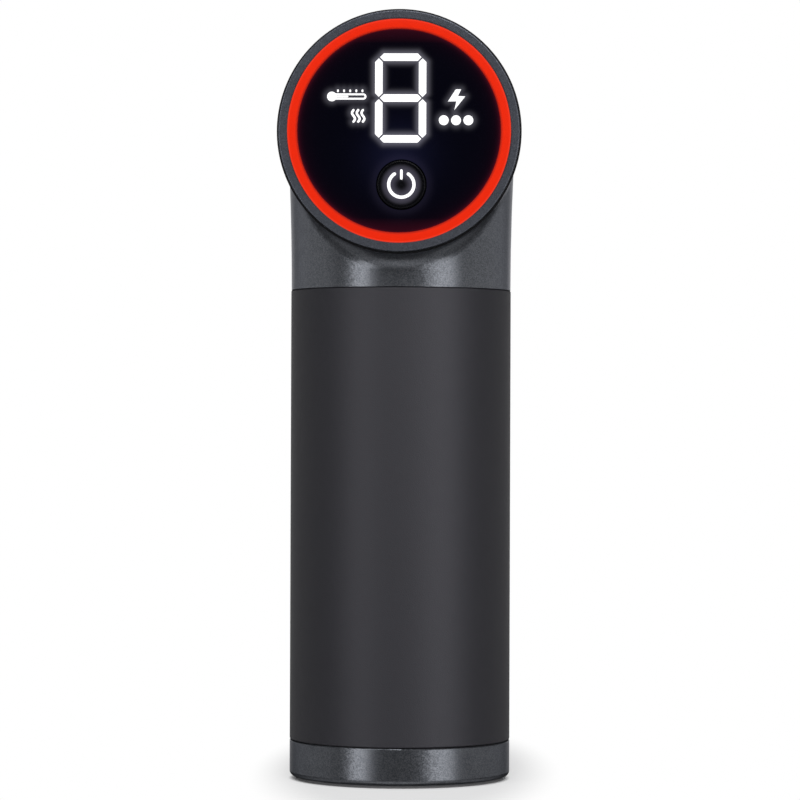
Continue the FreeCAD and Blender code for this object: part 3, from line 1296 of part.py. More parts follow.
def make_yoke():
    yoke = Piece("yoke").at(z=BARREL_AXIS)
    plate = box("0", "0", "2*" + YOKE_HALF_WIDTH, "2*" + YOKE_FRONT)
    yoke.pad("XY", [plate], "-yoke_half_height", "2*yoke_half_height")
    boss = circle("0", "0", "yoke_boss_radius")
    yoke.pad("XZ", [boss], YOKE_FRONT + " - yoke_wall/2", "yoke_boss + yoke_wall/2")
    slot = rounded_box("0", "0", "2*" + SLOT_HALF_LENGTH, "2*" + SLOT_HALF_WIDTH, "roller_radius*0.6")
    yoke.pocket("XY", [slot], "-2*yoke_half_height", "4*yoke_half_height")
    yoke.pocket("XY", [yoke_pin_loop("bond_gap")], "-plunger_radius", "2*plunger_radius")


def make_plunger_tube():
    tube = Piece("plunger_tube").at(z=BARREL_AXIS)
    length = "plunger_front - %s" % PLUNGER_BACK
    tube.pad("XZ", ring("plunger_radius", PLUNGER_BORE), PLUNGER_BACK, length)
    tube.pocket("XY", [yoke_pin_loop("bond_gap")], "-plunger_radius - 1", "2*plunger_radius + 2")


def make_yoke_pin():
    pin = Piece("yoke_pin").at(z=BARREL_AXIS)
    half = "(plunger_radius - 2*moving_gap)"
    pin.pad("XY", [yoke_pin_loop()], "-" + half, "2*" + half)


def make_socket_contacts():
    contacts = Piece("socket_contacts").at(z=BARREL_AXIS)
    back = "(%s - moving_gap - contact_block)" % CONTACT_BACK
    contacts.pad("XZ", [circle("0", "0", PLUNGER_BORE + " - bond_gap")], back, "contact_block")


def lead_path(angle):
    """The way of one motor lead: out over the bell's rim, a bend, and down the neck."""
    level = value(BARREL_AXIS + " + %s - bell_drop/2" % FLANGE_BASE)
    inner = value("stator_radius*0.8")
    outer = value(MOTOR_LEADS)
    bend = value("lead_bend")
    floor = value(DRIVER_TOP + " + bond_gap")
    out = Vector(math.cos(math.radians(angle)), math.sin(math.radians(angle)), 0)
    start = out * inner + Vector(0, 0, level)
    turn_start = out * (outer - bend) + Vector(0, 0, level)
    turn_end = out * outer + Vector(0, 0, level - bend)
    half = math.sqrt(0.5) * bend
    turn_middle = out * (outer - bend + half) + Vector(0, 0, level - bend + half)
    end = out * outer + Vector(0, 0, floor)
    edges = [
        Part.LineSegment(start, turn_start).toShape(),
        Part.Arc(turn_start, turn_middle, turn_end).toShape(),
        Part.LineSegment(turn_end, end).toShape(),
    ]
    return Part.Wire(edges), start, out


def make_motor_leads():
    solids = []
    spread = value("motor_lead_angle")
    for angle in (90 - spread, 90, 90 + spread):
        path, start, out = lead_path(angle)
        section = Part.Wire([Part.Circle(start, out, value("wire_radius*0.85")).toShape()])
        solids.append(path.makePipeShell([section], True, False))
    leads = document.addObject("Part::Feature", "motor_leads")
    leads.Label = "motor_leads"
    leads.Shape = Part.makeCompound(solids)
    leads.Placement = FreeCAD.Placement()
    pieces.append(leads)


# ---------------------------------------------------------------- front end


def make_nose_collar():
    collar = Piece("nose_collar").at(z=BARREL_AXIS)
    plug = "(%s - bond_gap)" % BARREL_BORE
    tube_inner = "(%s - nose_tube_wall)" % plug
    boss_back = "(%s - nose_boss)" % NOSE_FACE
    collar.turn(
        "Y",
        [
            (tube_inner, COLLAR_BACK),
            (plug, COLLAR_BACK),
            (plug, NOSE_STEP),
            (BARREL_RADIUS, NOSE_STEP),
            (BARREL_RADIUS, NOSE_FACE + " - nose_edge", "nose_edge", "left"),
            (BARREL_RADIUS + " - nose_edge", NOSE_FACE),
            (BUSH_SEAT, NOSE_FACE),
            (BUSH_SEAT, boss_back),
            ("nose_boss_radius", boss_back),
            ("nose_boss_radius", NOSE_STEP),
            (tube_inner, NOSE_STEP),
        ],
    )
    recess = "(plunger_radius + moving_gap + seal_width + bond_gap)"
    collar.pocket("XZ", [circle("0", "0", recess)], NOSE_FACE + " - seal_recess", "seal_recess + 1")
    holes = [circle(x, z, "screw_radius + seam_gap") for x, z in COLLAR_SPOTS]
    collar.pocket("XZ", holes, COLLAR_BACK + " - 1", "barrel_rear_reach")
    sinks = [circle(x, z, "screw_head_radius + seam_gap") for x, z in COLLAR_SPOTS]
    collar.pocket("XZ", sinks, NOSE_SCREW_SEAT, "nose_screw_sink + 1")


def make_nose_seal():
    seal = Piece("nose_seal").at(z=BARREL_AXIS)
    outer = "plunger_radius + moving_gap + seal_width"
    inner = "plunger_radius + moving_gap/2"
    start = NOSE_FACE + " - seal_recess + bond_gap"
    seal.pad("XZ", ring(outer, inner), start, "seal_recess + seal_proud - bond_gap")


# ---------------------------------------------------------------- hot and cold head


def make_head_body():
    head = Piece("head_body").at(z=BARREL_AXIS)
    head.turn(
        "Y",
        [
            ("0", STEM_END),
            ("stem_radius", STEM_END),
            ("stem_radius", "head_rear"),
            ("head_radius - head_edge", "head_rear", "head_edge", "left"),
            ("head_radius", "head_rear + head_edge"),
            ("head_radius", HEAD_FRONT),
            (HEAD_INNER, HEAD_FRONT),
            (HEAD_INNER, HEAD_FLOOR),
            ("0", HEAD_FLOOR),
        ],
    )
    pin_holes = [circle(x, z, "contact_radius + bond_gap") for x, z in CONTACT_SPOTS]
    head.pocket("XZ", pin_holes, STEM_END + " - 1", "stem_length + head_rear_wall + 2")
    head.groove(
        "Y",
        [
            (STEM_GROOVE, STEM_RING_LOW),
            ("stem_radius + 1", STEM_RING_LOW),
            ("stem_radius + 1", STEM_RING_HIGH),
            (STEM_GROOVE, STEM_RING_HIGH),
        ],
    )
    middle = "%s + vent_start + vent_length/2" % HEAD_FLOOR
    slot = box("0", middle, "vent_width", "vent_length")
    vent = head.pocket("XY", [slot], "stem_radius", "head_radius")
    head.repeat([vent], "Y", "vents")


def make_stem_ring():
    snap = Piece("stem_ring").at(z=BARREL_AXIS)
    loops = ring(PLUNGER_BORE + " - running_fit/2", STEM_GROOVE + " + bond_gap/2")
    snap.pad("XZ", loops, STEM_RING_LOW + " + bond_gap/2", "stem_ring_width - bond_gap")


def make_contact_pins():
    pins = Piece("contact_pins").at(z=BARREL_AXIS)
    length = "(stem_length + contact_reach + head_rear_wall)"
    pins.pad("XZ", [circle(x, z, "contact_radius") for x, z in CONTACT_SPOTS], CONTACT_BACK, length)


def make_fan_frame():
    frame = Piece("fan_frame").at(z=BARREL_AXIS)
    frame.pad("XZ", ring(HEAD_INNER + " - bond_gap", FAN_RING_INNER), FAN_BACK, "fan_depth")
    bore = circle("0", "0", "fan_shaft_radius + running_fit")
    frame.pad("XZ", [circle("0", "0", "fan_hub_radius"), bore], FAN_BACK, "fan_plate")
    reach = "(%s + fan_ring_wall/2 - fan_hub_radius*0.9)" % FAN_RING_INNER
    arm_box = box("fan_hub_radius*0.9 + %s/2" % reach, "0", reach, "spoke_width")
    arm = frame.pad("XZ", [arm_box], FAN_BACK, "fan_plate")
    frame.repeat([arm], "Y", "3")


def make_fan_rotor():
    rotor = Piece("fan_rotor").at(z=BARREL_AXIS)
    hub_back = "(%s + fan_plate + moving_gap)" % FAN_BACK
    rotor.pad("XZ", [circle("0", "0", "fan_hub_radius")], hub_back, "blade_depth")
    rotor.pad("XZ", [circle("0", "0", "fan_shaft_radius")], FAN_BACK, "fan_plate + moving_gap + 1")
    lean = "blade_thickness/2"
    slope = "blade_depth*0.45"
    blade_end = "(%s + blade_depth)" % hub_back
    wing = [
        ("-%s - %s" % (slope, lean), hub_back),
        ("-%s + %s" % (slope, lean), hub_back),
        ("%s + %s" % (slope, lean), blade_end),
        ("%s - %s" % (slope, lean), blade_end),
    ]
    reach = "(%s - fan_hub_radius*0.8)" % BLADE_RADIUS
    blade = rotor.pad("XY", [wing], "fan_hub_radius*0.8", reach)
    rotor.repeat([blade], "Y", "blades")


def make_heat_sink():
    sink = Piece("heat_sink").at(z=BARREL_AXIS)
    outer = "(%s - bond_gap)" % HEAD_INNER
    sink.pad("XZ", [circle("0", "0", outer)], SINK_BACK, "sink_base")
    count = int(value(outer) / value("fin_pitch"))
    fins = []
    for number in range(-count, count + 1):
        offset = number * value("fin_pitch")
        if abs(offset) > value("%s - fin_inset" % outer):
            continue
        half = math.sqrt(value(outer) ** 2 - (abs(offset) + value("fin_thickness")) ** 2) - 0.3
        fins.append(box("%d*fin_pitch" % number, "0", "fin_thickness", "%g" % (2 * half)))
    sink.pad("XZ", fins, SINK_BACK + " - fin_height", "fin_height + sink_base/2")


def make_peltier_module():
    module = Piece("peltier_module").at(z=BARREL_AXIS)
    square = box("0", "0", "peltier_side", "peltier_side")
    module.pad("XZ", [square], PELTIER_BACK, "peltier_thickness")


def make_peltier_gasket():
    gasket = Piece("peltier_gasket").at(z=BARREL_AXIS)
    rim = circle("0", "0", "%s - bond_gap" % HEAD_INNER)
    hole = box("0", "0", "peltier_side + 2*bond_gap", "peltier_side + 2*bond_gap")
    gasket.pad("XZ", [rim, hole], PELTIER_BACK, "peltier_thickness")


def make_contact_plate():
    plate = Piece("contact_plate").at(z=BARREL_AXIS)
    crown = "((head_radius - plate_edge)^2 + plate_crown^2)/(2*plate_crown)"
    plate.turn(
        "Y",
        [
            ("0", PELTIER_FRONT),
            ("head_radius", PELTIER_FRONT),
            ("head_radius", PELTIER_FRONT + " + plate_thickness - plate_edge", "plate_edge", "left"),
            ("head_radius - plate_edge", PELTIER_FRONT + " + plate_thickness", crown, "left"),
            ("0", PELTIER_FRONT + " + plate_thickness + plate_crown"),
        ],
    )


def make_cap_screws():
    seat = "foot_drop + foot_recess + bond_gap + screw_head"
    add_screws("cap_screws", "XY", BOSS_SPOTS, seat, "cap_screw_length", 1)


def make_driver_screws():
    add_screws("driver_screws", "XY", POST_SPOTS, DRIVER_TOP, "driver_board + post_height*0.7", -1)


def make_display_screws():
    screws = add_screws("display_screws", "XZ", CARRIER_SPOTS, BOARD_BACK, "display_screw_length", -1)
    screws.at(z=BARREL_AXIS)


def make_bracket_screws():
    length = "bulkhead_thickness + flange_thickness"
    screws = add_screws("bracket_screws", "XZ", BULKHEAD_SPOTS, BULKHEAD_FRONT, length, 1)
    screws.at(z=BARREL_AXIS)


def make_motor_screws():
    length = "deck_thickness + motor_base*0.9"
    screws = add_screws("motor_screws", "XY", MOTOR_SPOTS, "(-deck_under)", length, -1)
    screws.at(z=BARREL_AXIS)


def make_nose_screws():
    screws = add_screws("nose_screws", "XZ", COLLAR_SPOTS, NOSE_SCREW_SEAT, NOSE_SCREW_LENGTH, -1)
    screws.at(z=BARREL_AXIS)


make_main_housing()
make_grip_sleeve()
make_bottom_cap()
make_base_foot()
make_usb_receptacle()
make_charge_board()
make_lower_cell_holder()
make_upper_cell_holder()
make_battery_cells()
make_cell_straps()
make_battery_leads()
make_driver_board()
make_rear_bezel()
make_light_ring()
make_display_lens()
make_display_carrier()
make_figure_diffusers()
make_display_board()
make_display_lamps()
make_power_button()
make_tact_switch()
make_switch_plunger()
make_cable_sockets()
make_display_cable()
make_drive_bracket()
make_bracket_bush()
make_nose_bush()
make_motor_base()
make_motor_bearings()
make_motor_stator()
make_motor_coils()
make_motor_rotor()
make_rotor_magnets()
make_motor_shaft()
make_crank()
make_crank_bearing()
make_crank_clip()
make_yoke()
make_plunger_tube()
make_yoke_pin()
make_socket_contacts()
make_motor_leads()
make_nose_collar()
make_nose_seal()
make_head_body()
make_stem_ring()
make_contact_pins()
make_fan_frame()
make_fan_rotor()
make_heat_sink()
make_peltier_module()
make_peltier_gasket()
make_contact_plate()
make_cap_screws()
make_driver_screws()
make_display_screws()
make_bracket_screws()
make_motor_screws()
make_nose_screws()

document.recompute()
for thing in document.Objects:
    if "Invalid" in thing.State or "Error" in thing.State:
        raise RuntimeError("%s is %s" % (thing.Label, thing.State))
for piece in pieces:
    if piece.Shape.isNull() or not piece.Shape.isValid():
        raise RuntimeError("%s has no sound shape" % piece.Label)

os.makedirs("parts", exist_ok=True)
for piece in pieces:
    piece.Shape.exportStep("parts/%s.step" % piece.Label)
    print(piece.Label, len(piece.Shape.Solids), round(piece.Shape.Volume, 3))
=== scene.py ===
"""Looks of the hot and cold therapy machine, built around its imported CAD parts.

Lengths are in metres in the frame of the CAD: +Z up the handle, -Y out of the display, the origin
under the middle of the base. Places on the display are counted from the middle of its face.
"""

import json
import math

import bpy
from mathutils import Matrix, Vector
from mathutils.geometry import delaunay_2d_cdt


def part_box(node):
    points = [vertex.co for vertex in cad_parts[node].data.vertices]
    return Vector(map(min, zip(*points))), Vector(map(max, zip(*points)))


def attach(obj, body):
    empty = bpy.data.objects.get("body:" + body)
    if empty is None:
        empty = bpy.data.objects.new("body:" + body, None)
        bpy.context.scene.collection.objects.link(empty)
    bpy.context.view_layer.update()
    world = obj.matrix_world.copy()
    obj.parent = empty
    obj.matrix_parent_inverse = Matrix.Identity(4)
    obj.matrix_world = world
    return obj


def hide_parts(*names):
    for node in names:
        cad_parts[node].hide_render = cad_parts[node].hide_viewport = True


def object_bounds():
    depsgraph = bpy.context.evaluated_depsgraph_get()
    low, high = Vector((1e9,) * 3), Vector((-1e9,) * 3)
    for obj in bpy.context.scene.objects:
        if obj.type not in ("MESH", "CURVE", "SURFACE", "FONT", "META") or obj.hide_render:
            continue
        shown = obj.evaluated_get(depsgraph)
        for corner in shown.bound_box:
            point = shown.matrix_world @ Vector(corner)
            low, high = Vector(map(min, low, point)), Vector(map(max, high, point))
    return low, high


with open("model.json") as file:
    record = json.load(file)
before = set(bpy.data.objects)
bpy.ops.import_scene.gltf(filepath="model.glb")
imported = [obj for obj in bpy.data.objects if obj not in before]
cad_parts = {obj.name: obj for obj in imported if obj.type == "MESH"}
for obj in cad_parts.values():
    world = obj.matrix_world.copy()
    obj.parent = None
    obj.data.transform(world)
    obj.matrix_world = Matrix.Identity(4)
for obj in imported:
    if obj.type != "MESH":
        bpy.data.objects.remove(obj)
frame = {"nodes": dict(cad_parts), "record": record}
cad_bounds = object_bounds()

MM = 0.001

# ---------------------------------------------------------------- places read from the frame

bezel_low, bezel_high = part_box("rear_bezel")
lens_low, lens_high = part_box("display_lens")
ring_low, ring_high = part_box("light_ring")
plate_low, plate_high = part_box("contact_plate")
button_low, button_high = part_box("power_button")

# the middles of the display and of its button, and the CAD's reach from the display's middle
FACE_X = (bezel_low.x + bezel_high.x) / 2
FACE_Z = (bezel_low.z + bezel_high.z) / 2
BUTTON_X = (button_low.x + button_high.x) / 2
BUTTON_Z = (button_low.z + button_high.z) / 2
BUTTON_PLACE = (BUTTON_X - FACE_X, BUTTON_Z - FACE_Z)
BEZEL_RADIUS = (bezel_high.x - bezel_low.x) / 2

# ---------------------------------------------------------------- sizes of the display

FIGURE_PROUD = 0.05 * MM
FIGURE_SUNK = 0.15 * MM

# the glass is a little wider than the CAD's lens, and its front has small cells to hold its glow
LENS_REACH = 0.25 * MM
LENS_RADIUS = (lens_high.x - lens_low.x) / 2 + LENS_REACH
LENS_CHAMFER = 0.3 * MM
LENS_HOLE = 5.55 * MM
LENS_HOLE_CHAMFER = 0.2 * MM
LENS_CELL = 0.34 * MM
LENS_CELL_CLEAR = 0.6
LENS_BACK_MARGIN = 0.001 * MM
RIM_SIDES = 256
HOLE_SIDES = 96
INSIDE_TRIANGLES = 1
MERGE_DISTANCE = 1e-7
HOLE_TOLERANCE = 0.999

RING_INNER = LENS_RADIUS + 0.1 * MM
RING_OUTER = (ring_high.x - ring_low.x) / 2
RING_EDGE = 0.12 * MM
RING_STEP = 1.5 * MM
RING_LEDGE = 0.05 * MM
RING_SKIRT = (21.85 * MM, 23.0 * MM)

# the seal stands this far outside the CAD's bezel, and the rim as far inside it
# the seal's black beyond the bezel is partly painted shade, for the shade that falls under it
SEAL_STEP = 0.22 * MM
BEZEL_OUTER = BEZEL_RADIUS - SEAL_STEP
BEZEL_EDGE = 0.3 * MM
BEZEL_CHAMFER = 0.25 * MM
BEZEL_LENGTH = 2.6 * MM
BEZEL_SEAT = 25.9 * MM
BEZEL_SKIRT = (23.05 * MM, 24.05 * MM)
SEAL_OUTER = BEZEL_RADIUS + SEAL_STEP
SEAL_LENGTH = 0.45 * MM
SEAL_EDGE = 0.08 * MM
SEAL_GAP = 0.05 * MM

DIGIT_PLACE = (0.34 * MM, 7.1 * MM)
DIGIT_COLUMNS = 9.55 * MM
DIGIT_ROWS = 8.93 * MM
DIGIT_STROKE = 1.64 * MM
DIGIT_BREAK = 0.25 * MM

HEAT_PLACE = (-8.92 * MM, 3.19 * MM)
HEAT_SPACING = 1.03 * MM
HEAT_HEIGHT = 2.52 * MM
HEAT_SWING = 0.32 * MM
HEAT_STROKE = 0.5 * MM
HEAT_STEPS = 24

# the outline is in millimetres, anticlockwise from the top left, and a half lists its points
BOLT_PLACE = (12.5 * MM, 6.82 * MM)
BOLT_OUTLINE = (
    (-0.12, 2.2),
    (-1.83, -0.45),
    (0.03, -0.42),
    (-0.44, -2.34),
    (1.94, 0.66),
    (0.33, 0.73),
    (1.05, 2.2),
)
BOLT_HALVES = ((0, 1, 2, 5, 6), (2, 3, 4, 5))

DOTS_PLACE = (12.45 * MM, 2.27 * MM)
DOT_SPACING = 2.68 * MM
DOT_RADIUS = 1.08 * MM

# the neck is a share of the bulb, the scale one of the tube and the first tick one of a spacing
THERMOMETER_PLACE = (-11.44 * MM, 7.66 * MM)
THERMOMETER_LENGTH = 8.6 * MM
THERMOMETER_HEIGHT = 2.6 * MM
THERMOMETER_BULB = 1.05 * MM
THERMOMETER_NECK = 0.75
THERMOMETER_TUBE = 1.35 * MM
THERMOMETER_LINE = 0.4 * MM
THERMOMETER_MERCURY = 3.4 * MM
THERMOMETER_STEPS = 12
THERMOMETER_TICK = 0.62 * MM
THERMOMETER_TICKS = 5
THERMOMETER_FIRST_TICK = 0.4
THERMOMETER_SCALE = 0.88

POWER_RADIUS = 2.76 * MM
POWER_STROKE = 0.7 * MM
POWER_GAP = 33
POWER_STEPS = 60
POWER_BAR = 0.57 * MM
POWER_BAR_FROM = 1.36 * MM
POWER_BAR_TO = 3.05 * MM
POWER_DISH = 0.35 * MM

DISC_SIDES = 48
ROUND_STEPS = 8

# ---------------------------------------------------------------- turned pieces, paint and grain

LATHE_SIDES = 192
CORNER_STEPS = 4
SHARP_ANGLE = 35
PLATE_EDGE = 0.8 * MM
PLATE_CROWN = 2.2 * MM
PLATE_CROWN_STEPS = 24
TURNING_PITCH = 0.45 * MM

# how much of a paint's tone its flakes set, and how much drifts slowly over the surface
FLAKE_SHARE = 0.85
DRIFT_SHARE = 0.15

# the grain of a metal along X, Y and Z: under 1 it is drawn out, and over 1 it is packed
GRAIN_DRAWN = (1.0, 1.0, 0.06)
GRAIN_STACKED = (1.0, 1.0, 6.0)
GRAIN_WOUND = (1.0, 1.0, 5.0)

# ---------------------------------------------------------------- light of the display

# painted glow: the glass glows faintly, a little blue, most of all round a place above the button
GLASS_GLOW_TONE = Vector((0.0006, 0.0007, 0.0028))
GLASS_BLUE_GLOW = Vector((0.0040, 0.0046, 0.0150))
GLASS_BLUE_GLOW_PLACE = Vector((0.0, -5.5 * MM))
GLASS_BLUE_GLOW_REACH = 7.0 * MM
HALO_TONE = Vector((0.97, 0.95, 1.15))
HALO_LIMIT = 3.2
DIGIT_HALO = 0.1
ICON_HALO = 0.05
FIGURE_HALO_REACH = 0.8 * MM
# painted glow round the button's hole in the glass
HOLE_HALO = Vector((0.006, 0.0052, 0.010))
HOLE_HALO_REACH = 1.3 * MM
# painted glow of the lit ring's red on the glass, close to its edge and further in
RING_GLOW_NEAR = Vector((0.045, 0.003, 0.006))
RING_GLOW_NEAR_REACH = 0.35 * MM
RING_GLOW_FAR = Vector((0.006, 0.0, 0.0012))
RING_GLOW_FAR_REACH = 1.6 * MM

# where the ring's painted shade and painted highlight lie, from its axis, and how the button's light
# fades: away from its symbol, and at the edge of its dish
RING_PAINTED_SHADE = (RING_INNER + 0.1 * MM, RING_INNER + 0.55 * MM)
RING_PAINTED_HIGHLIGHT = (BEZEL_RADIUS - 2.2 * MM, BEZEL_RADIUS - 2.6 * MM)
BUTTON_GLOW = (0.2 * MM, 2.3 * MM)
BUTTON_DISH_EDGE = (4.0 * MM, 4.75 * MM)

# ---------------------------------------------------------------- camera, lamps and floor

# turns are in degrees, and the lens and its sensor in millimetres
CAMERA_DISTANCE = 0.774
CAMERA_HEIGHT = 0.0808
CAMERA_LENS = 152.8
CAMERA_SENSOR = 36.0
CAMERA_TURN = 1.0
CAMERA_TILT = 0.383
CAMERA_ROLL = 0.2
CAMERA_PAN = 0.0115

LAMP_DISTANCE = 1.15
LAMP_HEIGHT = 0.22
LAMP_TALL = 1.1
LEFT_LAMP = {"angle": -41.0, "width": 0.38, "radiance": 3.8}
RIGHT_LAMP = {"angle": 45.0, "width": 0.6, "radiance": 2.9}
TOP_LAMP = {"angle": 6.0, "width": 0.75, "radiance": 9.0}
TOP_LAMP_HEIGHT = 0.76
TOP_LAMP_TALL = 0.35

# strengths of the sky, where 1 is white: evenly all round, and then as gloss mirrors it
SKY_EVEN = 0.2
SKY_FRONT = 0.04
SKY_BAND = 0.95
SKY_BACK = 0.92
SKY_GROUND = 0.8
SKY_ASIDE = 0.45
SKY_ABOVE = 0.6

# edges of the mirrored sky's parts, as shares of a direction of length 1
BAND_BACK_EDGE = (0.6, 0.99)
BAND_FRONT_EDGE = (-0.5, -0.15)
BAND_LEVEL = 0.005
BAND_LEVEL_EDGE = (0.05, 0.15)
BACK_EDGE = (0.8, 0.97)
ASIDE_EDGE = (0.4, 0.62)
GROUND_NEAR_EDGE = (-0.55, -0.1)
GROUND_TOP_EDGE = (-0.6, -0.22)
ABOVE_EDGE = (0.6, 0.95)

FLOOR_HALF = 12.0
FLOOR_GAP = 0.02 * MM
# painted shade on the floor: its depth, the middle, edges and squeeze of its soft patch, and the ring
# where it meets the object
FLOOR_SHADE = 0.46
FLOOR_SHADE_PLACE = (1.0 * MM, 20.0 * MM, 0.0)
FLOOR_SHADE_EDGE = (22.0 * MM, 37.0 * MM)
FLOOR_SHADE_SQUEEZE = 0.3
CONTACT_EDGE = (23.6 * MM, 26.4 * MM)


# ---------------------------------------------------------------- node trees


class Nodes:
    """A node tree, with short calls for the nodes used here."""

    def __init__(self, tree):
        self.tree = tree

    def add(self, kind, **inputs):
        """A node whose named inputs get a value or, from another node, a link."""
        node = self.tree.nodes.new(kind)
        for name, given in inputs.items():
            self.set(node, name.replace("_", " "), given)
        return node

    def set(self, node, name, given):
        socket = node.inputs[int(name) if name.isdigit() else name]
        if isinstance(given, bpy.types.NodeSocket):
            self.tree.links.new(given, socket)
        else:
            socket.default_value = given

    def math(self, operation, first, second=0.0, third=0.0):
        node = self.tree.nodes.new("ShaderNodeMath")
        node.operation = operation
        for number, given in enumerate((first, second, third)):
            self.set(node, str(number), given)
        return node.outputs[0]

    def inverse(self, share):
        """1 minus the share."""
        return self.math("SUBTRACT", 1.0, share)

    def vector(self, operation, first, second=(0, 0, 0), scale=1.0):
        node = self.tree.nodes.new("ShaderNodeVectorMath")
        node.operation = operation
        self.set(node, "0", first)
        self.set(node, "1", second)
        self.set(node, "3", scale)
        return node.outputs["Value" if operation == "LENGTH" else "Vector"]

    def place(self):
        """The point on the object, in metres."""
        return self.add("ShaderNodeTexCoord").outputs["Object"]

    def noise(self, patches, detail=2.0, stretch=None):
        """Noise from 0 to 1 with this many patches to a metre."""
        place = self.place()
        if stretch:
            place = self.vector("MULTIPLY", place, stretch)
        return self.add("ShaderNodeTexNoise", Vector=place, Scale=patches, Detail=detail).outputs["Fac"]

    def spread(self, factor, low, high):
        """The factor, from 0 to 1, spread from low to high."""
        node = self.add("ShaderNodeMapRange", Value=factor, To_Min=low, To_Max=high)
        return node.outputs["Result"]

    def fade(self, value, start, end):
        """1 at start and beyond it, smoothly down to 0 at end."""
        node = self.add("ShaderNodeMapRange", From_Min=start, From_Max=end, To_Min=1.0, To_Max=0.0)
        node.interpolation_type = "SMOOTHSTEP"
        self.set(node, "Value", value)
        return node.outputs["Result"]

    def blend(self, factor, first, second):
        """A colour between two colours."""
        node = self.tree.nodes.new("ShaderNodeMix")
        node.data_type = "RGBA"
        self.set(node, "0", factor)
        self.set(node, "6", first)
        self.set(node, "7", second)
        return node.outputs[2]

    def bump(self, height, depth, normal=None):
        node = self.add("ShaderNodeBump", Height=height, Distance=depth)
        if normal is not None:
            self.set(node, "Normal", normal)
        return node.outputs["Normal"]


def colour(red, green, blue):
    return (red, green, blue, 1.0)


WHITE = colour(1.0, 1.0, 1.0)
BLACK = colour(0.0, 0.0, 0.0)


def scaled(tone, factor):
    return colour(*(min(1.0, part * factor) for part in tone[:3]))


def new_material(name):
    """A material with its nodes and its shader."""
    material = bpy.data.materials.new(name)
    material.use_nodes = True
    return material, Nodes(material.node_tree), material.node_tree.nodes["Principled BSDF"]


def paint_shader(nodes, shader, settings):
    for name, given in settings.items():
        nodes.set(shader, name, given)


# ---------------------------------------------------------------- materials


def flake_paint(name, dark, light, flakes, tilt, metallic, rough, coat, coat_rough=0.22):
    """Metallic paint: small flakes of two tones that lie at slightly different angles."""
    material, nodes, shader = new_material(name)
    cells = nodes.add("ShaderNodeTexVoronoi", Vector=nodes.place(), Scale=flakes)
    scatter = nodes.vector("SUBTRACT", cells.outputs["Color"], (0.5, 0.5, 0.5))
    lean = nodes.vector("SCALE", scatter, scale=tilt)
    surface = nodes.add("ShaderNodeNewGeometry").outputs["Normal"]
    normal = nodes.vector("NORMALIZE", nodes.vector("ADD", surface, lean))
    separate = nodes.add("ShaderNodeSeparateColor", Color=cells.outputs["Color"])
    drift = nodes.math("MULTIPLY", nodes.noise(60.0), DRIFT_SHARE)
    tone = nodes.math("MULTIPLY_ADD", separate.outputs["Red"], FLAKE_SHARE, drift)
    paint_shader(
        nodes,
        shader,
        {
            "Base Color": nodes.blend(tone, dark, light),
            "Metallic": metallic,
            "Roughness": nodes.spread(nodes.noise(700.0), rough - 0.03, rough + 0.03),
            "Normal": normal,
            "Specular IOR Level": 0.3,
            "Specular Tint": colour(0.45, 0.46, 0.5),
            "Coat Weight": coat,
            "Coat Roughness": coat_rough,
        },
    )
    return material


def gunmetal(name):
    return flake_paint(
        name,
        dark=colour(0.067, 0.072, 0.082),
        light=colour(0.15, 0.157, 0.174),
        flakes=4800.0,
        tilt=0.055,
        metallic=0.82,
        rough=0.305,
        coat=0.12,
        coat_rough=0.17,
    )


def bezel_finish(name):
    return flake_paint(
        name,
        dark=colour(0.058, 0.063, 0.076),
        light=colour(0.084, 0.09, 0.108),
        flakes=4200.0,
        tilt=0.06,
        metallic=0.45,
        rough=0.27,
        coat=0.02,
    )


def silicone(name, tone, rough, grain, gloss):
    """Satin rubber with a fine even grain and faint clouds."""
    material, nodes, shader = new_material(name)
    cloud = nodes.noise(55.0, detail=4.0)
    fine = nodes.noise(grain, detail=3.0)
    paint_shader(
        nodes,
        shader,
        {
            "Base Color": nodes.blend(cloud, scaled(tone, 0.85), scaled(tone, 1.15)),
            "Roughness": nodes.spread(fine, rough - 0.05, rough + 0.05),
            "Normal": nodes.bump(fine, 0.03 * MM),
            "Specular IOR Level": gloss,
            "Specular Tint": colour(0.93, 0.92, 1.0),
        },
    )
    return material


def grip_silicone(name):
    return silicone(name, colour(0.005, 0.0048, 0.0075), rough=0.55, grain=5200.0, gloss=0.71)


# painted light: the foot's grey is lighter than its dark rubber, standing in for the floor's bounce light
# on its side
def foot_rubber(name):
    return silicone(name, colour(0.15, 0.15, 0.153), rough=0.7, grain=2200.0, gloss=0.4)


def seal_rubber(name):
    return silicone(name, colour(0.004, 0.004, 0.0045), rough=0.6, grain=2200.0, gloss=0.2)


def moulded(name, tone, rough, grain=2600.0):
    """Injection-moulded plastic with a spark-eroded grain."""
    material, nodes, shader = new_material(name)
    fine = nodes.noise(grain)
    cloud = nodes.noise(120.0, detail=3.0)
    paint_shader(
        nodes,
        shader,
        {
            "Base Color": nodes.blend(cloud, scaled(tone, 0.88), scaled(tone, 1.12)),
            "Roughness": nodes.spread(fine, rough - 0.07, rough + 0.07),
            "Normal": nodes.bump(fine, 0.03 * MM),
        },
    )
    return material


def metal(name, tone, rough, stretch=None):
    """Bare metal with a grain that can be drawn out or packed along an axis."""
    material, nodes, shader = new_material(name)
    fine = nodes.noise(3000.0, detail=3.0, stretch=stretch)
    cloud = nodes.noise(150.0, detail=3.0)
    paint_shader(
        nodes,
        shader,
        {
            "Base Color": nodes.blend(cloud, scaled(tone, 0.9), scaled(tone, 1.08)),
            "Metallic": 1.0,
            "Roughness": nodes.spread(fine, rough - 0.08, rough + 0.1),
            "Normal": nodes.bump(fine, 0.01 * MM),
        },
    )
    return material


def ring_distance(nodes, across, up):
    """Distance from the axis along Y through this place."""
    centred = nodes.vector("SUBTRACT", nodes.place(), (across, 0.0, up))
    return nodes.vector("LENGTH", nodes.vector("MULTIPLY", centred, (1.0, 0.0, 1.0)))


